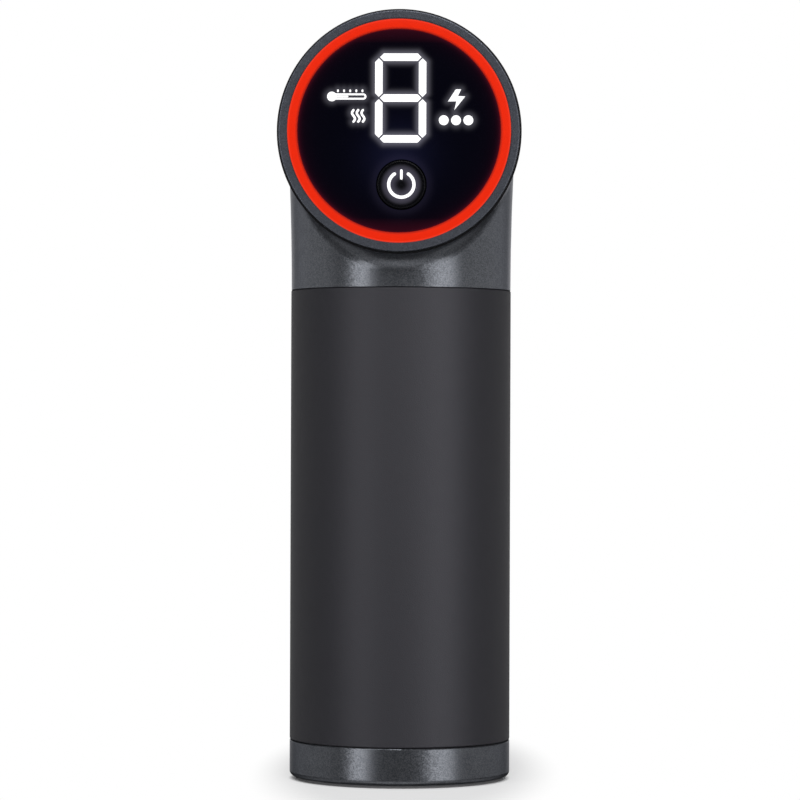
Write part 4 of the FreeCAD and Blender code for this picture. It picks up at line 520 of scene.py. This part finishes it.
def turned_aluminium(name):
    """Bright metal with the fine rings that a lathe leaves."""
    material, nodes, shader = new_material(name)
    distance = ring_distance(nodes, FACE_X, FACE_Z)
    rings = nodes.math("SINE", nodes.math("MULTIPLY", distance, 2 * math.pi / TURNING_PITCH))
    fine = nodes.noise(5200.0, detail=3.0)
    cloud = nodes.noise(150.0, detail=3.0)
    paint_shader(
        nodes,
        shader,
        {
            "Base Color": nodes.blend(cloud, colour(0.66, 0.67, 0.69), colour(0.76, 0.77, 0.79)),
            "Metallic": 1.0,
            "Roughness": nodes.spread(fine, 0.24, 0.36),
            "Normal": nodes.bump(rings, 0.002 * MM, nodes.bump(fine, 0.008 * MM)),
        },
    )
    return material


def red_diffuser(name):
    """The lit ring: even red light, with painted shade at its inner edge and a painted highlight at its
    outer edge.
    """
    material, nodes, shader = new_material(name)
    distance = ring_distance(nodes, FACE_X, FACE_Z)
    cloud = nodes.noise(400.0)
    body = nodes.blend(cloud, colour(0.46, 0.009, 0.0008), colour(0.5, 0.011, 0.001))
    # painted shade: a deep red band along the ring's inner edge
    painted_shade_edge = nodes.blend(nodes.fade(distance, *RING_PAINTED_SHADE), body, colour(0.16, 0.006, 0.004))
    # painted highlight: a pale band along the ring's outer edge
    painted_highlight_edge = nodes.blend(nodes.fade(distance, *RING_PAINTED_HIGHLIGHT), painted_shade_edge, colour(0.58, 0.032, 0.014))
    paint_shader(
        nodes,
        shader,
        {
            "Base Color": nodes.blend(cloud, colour(0.3, 0.009, 0.001), colour(0.34, 0.011, 0.001)),
            "Roughness": nodes.spread(nodes.noise(3000.0), 0.42, 0.5),
            "Specular IOR Level": 0.05,
            "Emission Color": painted_highlight_edge,
            "Emission Strength": 1.0,
        },
    )
    return material


def lens_glass(name):
    """Black glass over the figures, with painted glow from the mesh: their light spreading in it, a faint
    blue and the ring's red at its edge.
    """
    material, nodes, shader = new_material(name)
    glow = nodes.add("ShaderNodeAttribute")
    glow.attribute_name = "glow"
    smear = nodes.noise(140.0, detail=4.0)
    black = nodes.blend(smear, colour(0.0004, 0.0003, 0.0008), colour(0.0008, 0.0007, 0.0014))
    paint_shader(
        nodes,
        shader,
        {
            "Base Color": black,
            "Roughness": nodes.spread(smear, 0.05, 0.09),
            "Specular IOR Level": 0.18,
            "Emission Color": glow.outputs["Color"],
            "Emission Strength": 1.0,
        },
    )
    return material


def lit_figure(name):
    """A lit figure of the display: white, a little uneven."""
    material, nodes, shader = new_material(name)
    cloud = nodes.noise(1200.0)
    paint_shader(
        nodes,
        shader,
        {
            "Base Color": nodes.blend(cloud, colour(0.25, 0.25, 0.25), colour(0.3, 0.3, 0.31)),
            "Roughness": nodes.spread(cloud, 0.4, 0.5),
            "Emission Color": nodes.blend(cloud, colour(0.9, 0.9, 0.9), WHITE),
            "Emission Strength": 1.0,
        },
    )
    return material


def button_plastic(name):
    """Black button: gloss on its rim, with grey light from its symbol across the dish."""
    material, nodes, shader = new_material(name)
    distance = ring_distance(nodes, BUTTON_X, BUTTON_Z)
    away = nodes.math("ABSOLUTE", nodes.math("SUBTRACT", distance, POWER_RADIUS))
    near = nodes.fade(away, *BUTTON_GLOW)
    light = nodes.math("MULTIPLY", near, nodes.fade(distance, *BUTTON_DISH_EDGE))
    fine = nodes.noise(2600.0)
    paint_shader(
        nodes,
        shader,
        {
            "Base Color": nodes.blend(fine, colour(0.001, 0.001, 0.0015), colour(0.0025, 0.0025, 0.004)),
            "Roughness": nodes.spread(fine, 0.24, 0.3),
            "Specular IOR Level": 0.12,
            "Normal": nodes.bump(fine, 0.004 * MM),
            "Emission Color": nodes.blend(light, BLACK, colour(0.06, 0.056, 0.078)),
            "Emission Strength": 1.0,
        },
    )
    return material


def circuit_board(name):
    """Solder mask with copper tracks that show through as lighter lines."""
    material, nodes, shader = new_material(name)
    cells = nodes.add("ShaderNodeTexBrick", Vector=nodes.place(), Scale=420.0, Mortar_Size=0.04)
    track = cells.outputs["Fac"]
    mottle = nodes.noise(200.0, detail=3.0)
    green = nodes.blend(mottle, colour(0.01, 0.06, 0.03), colour(0.016, 0.085, 0.04))
    paint_shader(
        nodes,
        shader,
        {
            "Base Color": nodes.blend(track, green, colour(0.03, 0.14, 0.07)),
            "Roughness": nodes.spread(track, 0.35, 0.28),
            "Normal": nodes.bump(track, 0.02 * MM),
        },
    )
    return material


MATERIALS = {
    "metallic_paint": gunmetal,
    "nose_paint": gunmetal,
    "grip_silicone": grip_silicone,
    "foot_rubber": foot_rubber,
    "seal_rubber": seal_rubber,
    "bezel_metal": bezel_finish,
    "red_diffuser": red_diffuser,
    "smoked_lens": lens_glass,
    "button_black": button_plastic,
    "head_plastic": lambda name: moulded(name, colour(0.014, 0.014, 0.016), rough=0.42),
    "black_plastic": lambda name: moulded(name, colour(0.016, 0.016, 0.018), rough=0.5),
    "white_diffuser": lit_figure,
    "plate_aluminium": turned_aluminium,
    "plain_aluminium": lambda name: metal(name, colour(0.6, 0.61, 0.63), rough=0.38),
    "bright_steel": lambda name: metal(name, colour(0.56, 0.56, 0.58), rough=0.24, stretch=GRAIN_DRAWN),
    "dark_steel": lambda name: metal(name, colour(0.09, 0.09, 0.095), rough=0.36),
    "magnet_nickel": lambda name: metal(name, colour(0.62, 0.6, 0.55), rough=0.22),
    "stator_iron": lambda name: metal(name, colour(0.2, 0.2, 0.215), rough=0.45, stretch=GRAIN_STACKED),
    "copper_wire": lambda name: metal(name, colour(0.62, 0.25, 0.11), rough=0.3, stretch=GRAIN_WOUND),
    "contact_brass": lambda name: metal(name, colour(0.72, 0.5, 0.18), rough=0.24),
    "bush_bronze": lambda name: metal(name, colour(0.48, 0.31, 0.12), rough=0.4),
    "module_ceramic": lambda name: moulded(name, colour(0.74, 0.73, 0.7), rough=0.6, grain=3200.0),
    "cell_wrap": lambda name: moulded(name, colour(0.02, 0.09, 0.32), rough=0.3, grain=900.0),
    "lead_insulation": lambda name: moulded(name, colour(0.35, 0.008, 0.006), rough=0.4, grain=1500.0),
    "circuit_board": circuit_board,
    "cable_film": lambda name: moulded(name, colour(0.34, 0.13, 0.02), rough=0.25, grain=1200.0),
}


def dress_cad_nodes():
    """Give each CAD node the finish of its slot."""
    made = {slot: make(slot) for slot, make in MATERIALS.items()}
    for part in frame["record"]["subparts"]:
        mesh = frame["nodes"][part["node"]].data
        mesh.materials.clear()
        mesh.materials.append(made[part["material_slot"]])
    return made


# ---------------------------------------------------------------- pieces


def new_object(name, data):
    """An object of the scene that holds this data."""
    made = bpy.data.objects.new(name, data)
    bpy.context.scene.collection.objects.link(made)
    return made


def add_piece(name, corners, faces, slot, body):
    """A piece of the machine with the finish of its slot, that moves with its body."""
    mesh = bpy.data.meshes.new(name)
    mesh.from_pydata(corners, [], faces)
    mesh.materials.append(materials[slot])
    piece = new_object(name, mesh)
    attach(piece, body)
    return piece


# ---------------------------------------------------------------- flat figures


def spot(place, across=0.0, up=0.0):
    return Vector((place[0] + across, place[1] + up))


def circle_points(centre, radius, count):
    turn = 2 * math.pi / count
    return [centre + radius * Vector((math.cos(n * turn), math.sin(n * turn))) for n in range(count)]


def shape(outline):
    """The points and the one face of a flat shape."""
    return list(outline), [list(range(len(outline)))]


def disc(centre, radius):
    return shape(circle_points(centre, radius, DISC_SIDES))


def band(path, width):
    """A stroke of this width along a path, with round ends."""
    count = len(path)
    left, right = [], []
    for number, point in enumerate(path):
        before = path[max(number - 1, 0)]
        after = path[min(number + 1, count - 1)]
        along = (after - before).normalized()
        side = Vector((-along.y, along.x)) * width / 2
        left.append(point + side)
        right.append(point - side)
    points = left + right
    faces = [[n, n + 1, count + n + 1, count + n] for n in range(count - 1)]
    add_round_end(points, faces, path[0], 0, count)
    add_round_end(points, faces, path[-1], 2 * count - 1, count - 1)
    return points, faces


def add_round_end(points, faces, centre, first, last):
    """A half disc from the point numbered first, round the end, to the point numbered last."""
    start = points[first] - centre
    ends = [first]
    for number in range(1, ROUND_STEPS):
        points.append(centre + Matrix.Rotation(math.pi * number / ROUND_STEPS, 2) @ start)
        ends.append(len(points) - 1)
    faces.append(ends + [last])


def joined(*parts):
    """Several flat shapes as one."""
    points, faces = [], []
    for more, loops in parts:
        start = len(points)
        points += more
        faces += [[start + n for n in loop] for loop in loops]
    return points, faces


def signed_area(points, loop):
    """The area of a face, over 0 if its points run anticlockwise."""
    corners = [points[n] for n in loop]
    return sum(a.x * b.y - b.x * a.y for a, b in zip(corners, corners[1:] + corners[:1])) / 2


def add_figure(name, flat, front, back, body):
    """A lit plate on the display, from its front to its back along Y."""
    points, faces = flat
    faces = [face if signed_area(points, face) > 0 else face[::-1] for face in faces]
    count = len(points)
    corners = [(FACE_X + p.x, front, FACE_Z + p.y) for p in points]
    corners += [(FACE_X + p.x, back, FACE_Z + p.y) for p in points]
    sides = {edge for face in faces for edge in zip(face, face[1:] + face[:1])}
    loops = faces + [[count + n for n in reversed(face)] for face in faces]
    loops += [[b, a, a + count, b + count] for a, b in sides if (b, a) not in sides]
    add_piece(name, corners, loops, "white_diffuser", body)


def digit_stroke(middle, length, upright):
    """One of the digit's seven strokes, pointed at both ends."""
    half, wide = length / 2 - DIGIT_BREAK, DIGIT_STROKE / 2
    tip = half - wide
    outline = [(-half, 0), (-tip, -wide), (tip, -wide), (half, 0), (tip, wide), (-tip, wide)]
    turned = [(-up, across) if upright else (across, up) for across, up in outline]
    return shape([middle + Vector(corner) for corner in turned])


def digit_shape():
    """The digit 8, of three strokes that lie and four that stand."""
    strokes = []
    for row in (-1, 0, 1):
        strokes.append(digit_stroke(spot(DIGIT_PLACE, up=row * DIGIT_ROWS), DIGIT_COLUMNS, upright=False))
    for side in (-0.5, 0.5):
        for row in (-0.5, 0.5):
            middle = spot(DIGIT_PLACE, side * DIGIT_COLUMNS, row * DIGIT_ROWS)
            strokes.append(digit_stroke(middle, DIGIT_ROWS, upright=True))
    return joined(*strokes)


def heat_shape():
    """Three upright waves, side by side."""
    waves = []
    for number in (-1, 0, 1):
        path = []
        for step in range(HEAT_STEPS + 1):
            part = step / HEAT_STEPS
            across = number * HEAT_SPACING - HEAT_SWING * math.sin(2 * math.pi * part)
            path.append(spot(HEAT_PLACE, across, HEAT_HEIGHT * (0.5 - part)))
        waves.append(band(path, HEAT_STROKE))
    return joined(*waves)


def bolt_shape():
    outline = [spot(BOLT_PLACE, x * MM, z * MM) for x, z in BOLT_OUTLINE]
    return joined(*(shape([outline[n] for n in half]) for half in BOLT_HALVES))


def dots_shape():
    return joined(*(disc(spot(DOTS_PLACE, n * DOT_SPACING), DOT_RADIUS) for n in (-1, 0, 1)))


def thermometer_shape():
    """A thermometer that lies on its side under a scale of ticks."""
    left, bottom = spot(THERMOMETER_PLACE, -THERMOMETER_LENGTH / 2, -THERMOMETER_HEIGHT / 2)
    level = bottom + THERMOMETER_BULB
    bulb = Vector((left + THERMOMETER_BULB, level))
    half = (THERMOMETER_TUBE - THERMOMETER_LINE) / 2
    right = left + THERMOMETER_LENGTH - half - THERMOMETER_LINE / 2
    start = bulb.x + THERMOMETER_BULB * THERMOMETER_NECK
    tube = [Vector((start, level - half)), Vector((right, level - half))]
    for step in range(1, THERMOMETER_STEPS):
        turn = math.pi * (step / THERMOMETER_STEPS - 0.5)
        tube.append(Vector((right + half * math.cos(turn), level + half * math.sin(turn))))
    tube += [Vector((right, level + half)), Vector((start, level + half))]
    mercury = [bulb, bulb + Vector((THERMOMETER_MERCURY, 0))]
    pieces = [disc(bulb, THERMOMETER_BULB)]
    pieces += [band(path, THERMOMETER_LINE) for path in (tube, mercury)]
    top = bottom + THERMOMETER_HEIGHT - THERMOMETER_LINE / 2
    foot = top - THERMOMETER_TICK + THERMOMETER_LINE
    spacing = THERMOMETER_SCALE * (right - start) / (THERMOMETER_TICKS - 1)
    for number in range(THERMOMETER_TICKS):
        across = start + (number + THERMOMETER_FIRST_TICK) * spacing
        pieces.append(band([Vector((across, top)), Vector((across, foot))], THERMOMETER_LINE))
    return joined(*pieces)


def power_shape():
    """A ring with a gap at its top, and a bar in the gap."""
    arc = []
    for step in range(POWER_STEPS + 1):
        turn = math.radians(90 + POWER_GAP + (360 - 2 * POWER_GAP) * step / POWER_STEPS)
        arc.append(spot(BUTTON_PLACE, POWER_RADIUS * math.cos(turn), POWER_RADIUS * math.sin(turn)))
    bar = [spot(BUTTON_PLACE, up=POWER_BAR_FROM), spot(BUTTON_PLACE, up=POWER_BAR_TO)]
    return joined(band(arc, POWER_STROKE), band(bar, POWER_BAR))


# ---------------------------------------------------------------- light in the glass


def distance_to_edge(point, first, second):
    along = second - first
    share = max(0.0, min(1.0, (point - first).dot(along) / along.length_squared))
    return (point - first - along * share).length


def inside_outline(point, outline):
    crossings = 0
    for first, second in zip(outline, outline[1:] + outline[:1]):
        if (first.y > point.y) != (second.y > point.y):
            share = (point.y - first.y) / (second.y - first.y)
            crossings += point.x < first.x + share * (second.x - first.x)
    return crossings % 2 == 1


def distance_to_shape(point, flat):
    """Distance from a point to the nearest face of a flat shape."""
    points, faces = flat
    best = math.inf
    for face in faces:
        outline = [points[n] for n in face]
        if inside_outline(point, outline):
            return 0.0
        for first, second in zip(outline, outline[1:] + outline[:1]):
            best = min(best, distance_to_edge(point, first, second))
    return best


def near_box(point, flat, reach):
    """Whether a point is this near to the box round a flat shape."""
    xs = [p.x for p in flat[0]]
    zs = [p.y for p in flat[0]]
    beside = min(xs) - reach < point.x < max(xs) + reach
    return beside and min(zs) - reach < point.y < max(zs) + reach


def halo_at(point, flat, strength):
    """Light that a lit figure spreads to this place, as a colour."""
    if not near_box(point, flat, HALO_LIMIT * FIGURE_HALO_REACH):
        return Vector((0, 0, 0))
    reach = distance_to_shape(point, flat) / FIGURE_HALO_REACH
    return HALO_TONE * strength * math.exp(-reach * reach)


def glow_at(point, digit, icons):
    """Light that the glass shows at this place, as a colour."""
    light = GLASS_GLOW_TONE.copy()
    light += GLASS_BLUE_GLOW * math.exp(-(((point - GLASS_BLUE_GLOW_PLACE).length / GLASS_BLUE_GLOW_REACH) ** 2))
    light += halo_at(point, digit, DIGIT_HALO)
    for icon in icons:
        light += halo_at(point, icon, ICON_HALO)
    outwards = (point - Vector(BUTTON_PLACE)).length - LENS_HOLE
    light += HOLE_HALO * math.exp(-((outwards / HOLE_HALO_REACH) ** 2))
    # painted glow of the ring's red on the glass
    inwards = LENS_RADIUS - point.length
    light += RING_GLOW_NEAR * math.exp(-inwards / RING_GLOW_NEAR_REACH)
    light += RING_GLOW_FAR * math.exp(-inwards / RING_GLOW_FAR_REACH)
    return light


# ---------------------------------------------------------------- lens


def lens_grid(radius, hole_radius):
    """Points of an even triangular grid, clear of the rim and of the hole."""
    grid = []
    reach = int(radius / LENS_CELL) + 1
    clear = LENS_CELL * LENS_CELL_CLEAR
    for row in range(-reach, reach + 1):
        for column in range(-reach, reach + 1):
            point = Vector(((column + 0.5 * (row % 2)) * LENS_CELL, row * LENS_CELL * math.sqrt(0.75)))
            from_hole = (point - Vector(BUTTON_PLACE)).length
            if point.length < radius - clear and from_hole > hole_radius + clear:
                grid.append(point)
    return grid


def holed_disc(radius, hole_radius, grid):
    """A disc with the button's hole: its points, rim first and then hole, and its triangles."""
    hole = Vector(BUTTON_PLACE)
    border = circle_points(Vector((0, 0)), radius, RIM_SIDES)
    border += circle_points(hole, hole_radius, HOLE_SIDES)
    edges = [(n, (n + 1) % RIM_SIDES) for n in range(RIM_SIDES)]
    edges += [(RIM_SIDES + n, RIM_SIDES + (n + 1) % HOLE_SIDES) for n in range(HOLE_SIDES)]
    made = delaunay_2d_cdt(border + grid, edges, [], INSIDE_TRIANGLES, MERGE_DISTANCE)
    points, triangles = made[0], []
    for loop in made[2]:
        middle = sum((points[n] for n in loop), Vector((0, 0))) / 3
        if (middle - hole).length > hole_radius * HOLE_TOLERANCE:
            triangles.append(loop if signed_area(points, loop) > 0 else loop[::-1])
    return points, triangles


def walls(first, second, count):
    """Quads between two circles of points, from the numbers that they start at."""
    pairs = [(n, (n + 1) % count) for n in range(count)]
    return [[first + after, first + n, second + n, second + after] for n, after in pairs]


def lens_shell():
    """A closed shell: a fine flat front between two chamfers, walls and a flat back."""
    front, back = lens_low.y, lens_high.y
    middle, hole = Vector((0, 0)), Vector(BUTTON_PLACE)
    flat_radius = LENS_RADIUS - LENS_CHAMFER
    flat_hole = LENS_HOLE + LENS_HOLE_CHAMFER
    points, triangles = holed_disc(flat_radius, flat_hole, lens_grid(flat_radius, flat_hole))
    corners = [(p.x, front, p.y) for p in points]
    starts = []
    for centre, radius, level, sides in (
        (middle, LENS_RADIUS, front + LENS_CHAMFER, RIM_SIDES),
        (middle, LENS_RADIUS, back, RIM_SIDES),
        (hole, LENS_HOLE, front + LENS_HOLE_CHAMFER, HOLE_SIDES),
        (hole, LENS_HOLE, back, HOLE_SIDES),
    ):
        starts.append(len(corners))
        corners += [(p.x, level, p.y) for p in circle_points(centre, radius, sides)]
    rim, rim_back, mouth, mouth_back = starts
    loops = triangles + walls(0, rim, RIM_SIDES) + walls(rim, rim_back, RIM_SIDES)
    in_hole = walls(RIM_SIDES, mouth, HOLE_SIDES) + walls(mouth, mouth_back, HOLE_SIDES)
    loops += [quad[::-1] for quad in in_hole]
    for triangle in holed_disc(LENS_RADIUS, LENS_HOLE, [])[1]:
        numbers = [rim_back + n if n < RIM_SIDES else mouth_back + n - RIM_SIDES for n in triangle]
        loops.append(numbers[::-1])
    return corners, loops


def add_lens(digit, icons):
    """The glass over the figures, with their light on its front."""
    corners, loops = lens_shell()
    placed = [(FACE_X + x, y, FACE_Z + z) for x, y, z in corners]
    piece = add_piece("lens_glass", placed, loops, "smoked_lens", "housing")
    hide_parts("display_lens")
    glow = piece.data.attributes.new("glow", "FLOAT_COLOR", "POINT")
    for number, (x, y, z) in enumerate(corners):
        lit = y < lens_high.y - LENS_BACK_MARGIN
        light = glow_at(Vector((x, z)), digit, icons) if lit else GLASS_GLOW_TONE
        glow.data[number].color = (*light, 1.0)


# ---------------------------------------------------------------- turned pieces


def lathe(name, profile, slot, body):
    """A profile of (radius, place along Y) turned round the barrel's axis, from front to back."""
    corners, rings = [], []
    for radius, level in profile:
        turned = circle_points(Vector((0, 0)), radius, LATHE_SIDES if radius else 1)
        rings.append([len(corners) + n for n in range(len(turned))])
        corners += [(FACE_X + p.x, level, FACE_Z + p.y) for p in turned]
    following = rings[1:] + (rings[:1] if profile[0][0] else [])
    loops = []
    for first, second in zip(rings, following):
        for n in range(LATHE_SIDES):
            after = n + 1
            quad = [first[n % len(first)], first[after % len(first)]]
            quad += [second[after % len(second)], second[n % len(second)]]
            loops.append(list(dict.fromkeys(quad)))
    piece = add_piece(name, corners, loops, slot, body)
    piece.data.polygons.foreach_set("use_smooth", [True] * len(loops))
    piece.data.set_sharp_from_angle(angle=math.radians(SHARP_ANGLE))
    return piece


def corner(radius, level, outwards, along, size):
    """A rounded corner of a profile, from its side wall to its face.

    outwards is -1 where the face lies nearer the axis than the wall, and along is 1 where the wall
    runs from the face along +Y.
    """
    arc = []
    for step in range(CORNER_STEPS + 1):
        turn = math.pi / 2 * step / CORNER_STEPS
        across = radius + outwards * size * (1 - math.cos(turn))
        arc.append((across, level + along * size * (1 - math.sin(turn))))
    return arc


def add_bezel():
    """The metal rim round the display, with a step at its back for the seal."""
    front = bezel_low.y
    inner = RING_OUTER + SEAL_GAP
    ledge = ring_low.y + RING_STEP + SEAL_GAP
    back = front + BEZEL_LENGTH
    skirt_inner, skirt_outer = BEZEL_SKIRT
    profile = corner(BEZEL_OUTER, front, -1, 1, BEZEL_EDGE)
    profile += [
        # close to the rounded edge, so that the face shades flat
        (BEZEL_OUTER - BEZEL_EDGE - SEAL_GAP, front),
        (inner + BEZEL_CHAMFER, front),
        (inner, front + BEZEL_CHAMFER),
        (inner, ledge),
        (skirt_inner, ledge),
        (skirt_inner, bezel_high.y),
        (skirt_outer, bezel_high.y),
        (skirt_outer, back),
        (BEZEL_SEAT, back),
        (BEZEL_SEAT, back - SEAL_LENGTH),
        (BEZEL_OUTER, back - SEAL_LENGTH),
    ]
    piece = lathe("bezel_rim", profile, "bezel_metal", "housing")
    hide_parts("rear_bezel")


def add_seal():
    """The black seal between the rim and the barrel, a hair wider than both: its black line is partly
    painted shade, standing in for the shade under the bezel.
    """
    front = bezel_low.y + BEZEL_LENGTH - SEAL_LENGTH + SEAL_GAP
    back = front + SEAL_LENGTH
    profile = corner(SEAL_OUTER, front, -1, 1, SEAL_EDGE)
    profile += [(BEZEL_SEAT + SEAL_GAP, front), (BEZEL_SEAT + SEAL_GAP, back)]
    profile += corner(SEAL_OUTER, back, -1, -1, SEAL_EDGE)[::-1]
    lathe("bezel_seal", profile, "seal_rubber", "housing")


def add_ring():
    """The light guide: its lit front, and the skirt that takes the light from the board."""
    front = ring_low.y
    ledge = lens_high.y + RING_LEDGE
    skirt_inner, skirt_outer = RING_SKIRT
    profile = corner(RING_OUTER, front, -1, 1, RING_EDGE)
    profile += corner(RING_INNER, front, 1, 1, RING_EDGE)[::-1]
    profile += [
        (RING_INNER, ledge),
        (skirt_inner, ledge),
        (skirt_inner, ring_high.y),
        (skirt_outer, ring_high.y),
        (skirt_outer, front + RING_STEP),
        (RING_OUTER, front + RING_STEP),
    ]
    piece = lathe("lit_ring", profile, "red_diffuser", "housing")
    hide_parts("light_ring")


def add_contact_plate():
    """The crowned plate that touches the skin."""
    radius = (plate_high.x - plate_low.x) / 2
    flat = radius - PLATE_EDGE
    shoulder = plate_high.y - PLATE_CROWN
    sphere = (flat * flat + PLATE_CROWN * PLATE_CROWN) / (2 * PLATE_CROWN)
    profile = []
    for step in range(PLATE_CROWN_STEPS):
        across = flat * step / PLATE_CROWN_STEPS
        profile.append((across, plate_high.y - sphere + math.sqrt(sphere * sphere - across * across)))
    profile += corner(radius, shoulder, -1, -1, PLATE_EDGE)[::-1]
    profile += [(radius, plate_low.y), (0.0, plate_low.y)]
    piece = lathe("turned_plate", profile, "plate_aluminium", "thermal_head")
    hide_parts("contact_plate")


# ---------------------------------------------------------------- stage


def mirrored_sky(nodes):
    """The studio as gloss mirrors it: a pale band at the horizon, a pale ground and a ceiling."""
    direction = nodes.add("ShaderNodeTexCoord").outputs["Generated"]
    parts = nodes.add("ShaderNodeSeparateXYZ", Vector=direction)
    across, depth, height = (parts.outputs[name] for name in "XYZ")
    in_front = nodes.fade(depth, *BAND_FRONT_EDGE)
    beside = nodes.math("SUBTRACT", nodes.fade(depth, *BAND_BACK_EDGE), in_front)
    behind = nodes.inverse(nodes.fade(depth, *BACK_EDGE))
    pale = nodes.math("MULTIPLY_ADD", behind, SKY_BACK, nodes.math("MULTIPLY", beside, SKY_BAND))
    off_level = nodes.math("ABSOLUTE", nodes.math("SUBTRACT", height, BAND_LEVEL))
    level = nodes.fade(off_level, *BAND_LEVEL_EDGE)
    aside = nodes.inverse(nodes.fade(nodes.math("ABSOLUTE", across), *ASIDE_EDGE))
    near = nodes.fade(depth, *GROUND_NEAR_EDGE)
    ground_share = nodes.math("MAXIMUM", near, nodes.math("MULTIPLY", aside, SKY_ASIDE))
    below = nodes.math("MULTIPLY", nodes.fade(height, *GROUND_TOP_EDGE), ground_share)
    above = nodes.inverse(nodes.fade(height, *ABOVE_EDGE))
    ground = nodes.math("MULTIPLY_ADD", below, SKY_GROUND, SKY_FRONT)
    far = nodes.math("MULTIPLY_ADD", above, SKY_ABOVE, ground)
    return nodes.math("MULTIPLY_ADD", level, pale, far)


def add_world():
    """White to the camera, even light on the object, and the mirrored sky for its gloss."""
    world = bpy.data.worlds.new("studio")
    bpy.context.scene.world = world
    world.use_nodes = True
    world.node_tree.nodes.clear()
    nodes = Nodes(world.node_tree)
    ray = nodes.add("ShaderNodeLightPath").outputs
    mirrored = nodes.math("MAXIMUM", ray["Is Glossy Ray"], ray["Is Transmission Ray"])
    shown = nodes.math("MULTIPLY", mirrored, mirrored_sky(nodes))
    even = nodes.math("MULTIPLY", nodes.inverse(mirrored), SKY_EVEN)
    camera = ray["Is Camera Ray"]
    beyond = nodes.math("MULTIPLY", nodes.inverse(camera), nodes.math("ADD", shown, even))
    strength = nodes.math("ADD", camera, beyond)
    sky = nodes.add("ShaderNodeBackground", Color=WHITE, Strength=strength)
    nodes.add("ShaderNodeOutputWorld", Surface=sky.outputs["Background"])


def floor_paper():
    """Pale paper inside a painted shade patch near the object, where it also keeps the object's real
    shadow, and plain white around it.
    """
    material = bpy.data.materials.new("floor")
    material.use_nodes = True
    material.node_tree.nodes.clear()
    nodes = Nodes(material.node_tree)
    # painted shade: a soft squeezed patch round the object and a ring at its contact, where the camera
    # sees the lit paper instead of white
    from_middle = nodes.vector("SUBTRACT", nodes.place(), FLOOR_SHADE_PLACE)
    squeezed = nodes.vector("MULTIPLY", from_middle, (1.0, FLOOR_SHADE_SQUEEZE, 0.0))
    wide = nodes.fade(nodes.vector("LENGTH", squeezed), *FLOOR_SHADE_EDGE)
    flat = nodes.vector("MULTIPLY", nodes.place(), (1.0, 1.0, 0.0))
    contact = nodes.fade(nodes.vector("LENGTH", flat), *CONTACT_EDGE)
    shade = nodes.math("MAXIMUM", nodes.math("MULTIPLY", wide, FLOOR_SHADE), contact)
    tone = nodes.blend(nodes.noise(900.0), colour(0.8, 0.8, 0.81), colour(0.84, 0.84, 0.85))
    paper = nodes.add("ShaderNodeBsdfDiffuse", Color=tone)
    white = nodes.add("ShaderNodeEmission", Color=WHITE, Strength=1.0)
    ray = nodes.add("ShaderNodeLightPath").outputs
    mixed = nodes.add("ShaderNodeMixShader")
    nodes.set(mixed, "0", nodes.math("MULTIPLY", ray["Is Camera Ray"], nodes.inverse(shade)))
    nodes.set(mixed, "1", paper.outputs["BSDF"])
    nodes.set(mixed, "2", white.outputs["Emission"])
    nodes.add("ShaderNodeOutputMaterial", Surface=mixed.outputs["Shader"])
    return material


def add_floor():
    """A wide pale floor, which gloss doesn't mirror: the sky has its own ground for that."""
    mesh = bpy.data.meshes.new("floor")
    level = cad_bounds[0].z - FLOOR_GAP
    signs = ((-1, -1), (1, -1), (1, 1), (-1, 1))
    mesh.from_pydata([(x * FLOOR_HALF, y * FLOOR_HALF, level) for x, y in signs], [], [(0, 1, 2, 3)])
    mesh.materials.append(floor_paper())
    floor = new_object("floor", mesh)
    floor.visible_glossy = False


def add_lamp(name, angle, width, radiance, height=LAMP_HEIGHT, tall=LAMP_TALL):
    """A soft box at this angle from the camera's side, turned to the middle of the object."""
    data = bpy.data.lights.new(name, "AREA")
    data.shape = "RECTANGLE"
    data.size = width
    data.size_y = tall
    data.energy = radiance * math.pi * width * tall
    lamp = new_object(name, data)
    turn = math.radians(angle)
    lamp.location = (LAMP_DISTANCE * math.sin(turn), -LAMP_DISTANCE * math.cos(turn), height)
    target = (cad_bounds[0] + cad_bounds[1]) / 2
    lamp.rotation_euler = (target - lamp.location).to_track_quat("-Z", "Y").to_euler()
    lamp.visible_camera = False


def add_camera():
    """The camera, turned about the object first, and then panned, tilted and rolled where it stands."""
    data = bpy.data.cameras.new("camera")
    data.lens = CAMERA_LENS
    data.sensor_width = CAMERA_SENSOR
    camera = new_object("camera", data)
    turn = Matrix.Rotation(math.radians(CAMERA_TURN), 4, "Z")
    stand = Matrix.Translation((0.0, -CAMERA_DISTANCE, CAMERA_HEIGHT))
    pan = Matrix.Rotation(math.radians(CAMERA_PAN), 4, "Z")
    upright = Matrix.Rotation(math.radians(90 + CAMERA_TILT), 4, "X")
    roll = Matrix.Rotation(math.radians(CAMERA_ROLL), 4, "Z")
    camera.matrix_world = turn @ stand @ pan @ upright @ roll
    bpy.context.scene.camera = camera


# ---------------------------------------------------------------- the scene

materials = dress_cad_nodes()

digit = digit_shape()
icons = {
    "thermometer_figure": thermometer_shape(),
    "heat_figure": heat_shape(),
    "bolt_figure": bolt_shape(),
    "charge_dots_figure": dots_shape(),
}
add_lens(digit, list(icons.values()))
add_bezel()
add_seal()
add_ring()
add_contact_plate()
figure_front, figure_back = lens_low.y - FIGURE_PROUD, lens_low.y + FIGURE_SUNK
add_figure("digit_figure", digit, figure_front, figure_back, "housing")
for icon_name, icon in icons.items():
    add_figure(icon_name, icon, figure_front, figure_back, "housing")
dish = button_low.y + POWER_DISH
add_figure("power_symbol", power_shape(), dish - FIGURE_PROUD, dish + FIGURE_SUNK, "power_button")

add_world()
add_floor()
add_lamp("left_box", **LEFT_LAMP)
add_lamp("right_box", **RIGHT_LAMP)
add_lamp("top_box", **TOP_LAMP, height=TOP_LAMP_HEIGHT, tall=TOP_LAMP_TALL)
add_camera()
bpy.context.scene.view_settings.view_transform = "Standard"
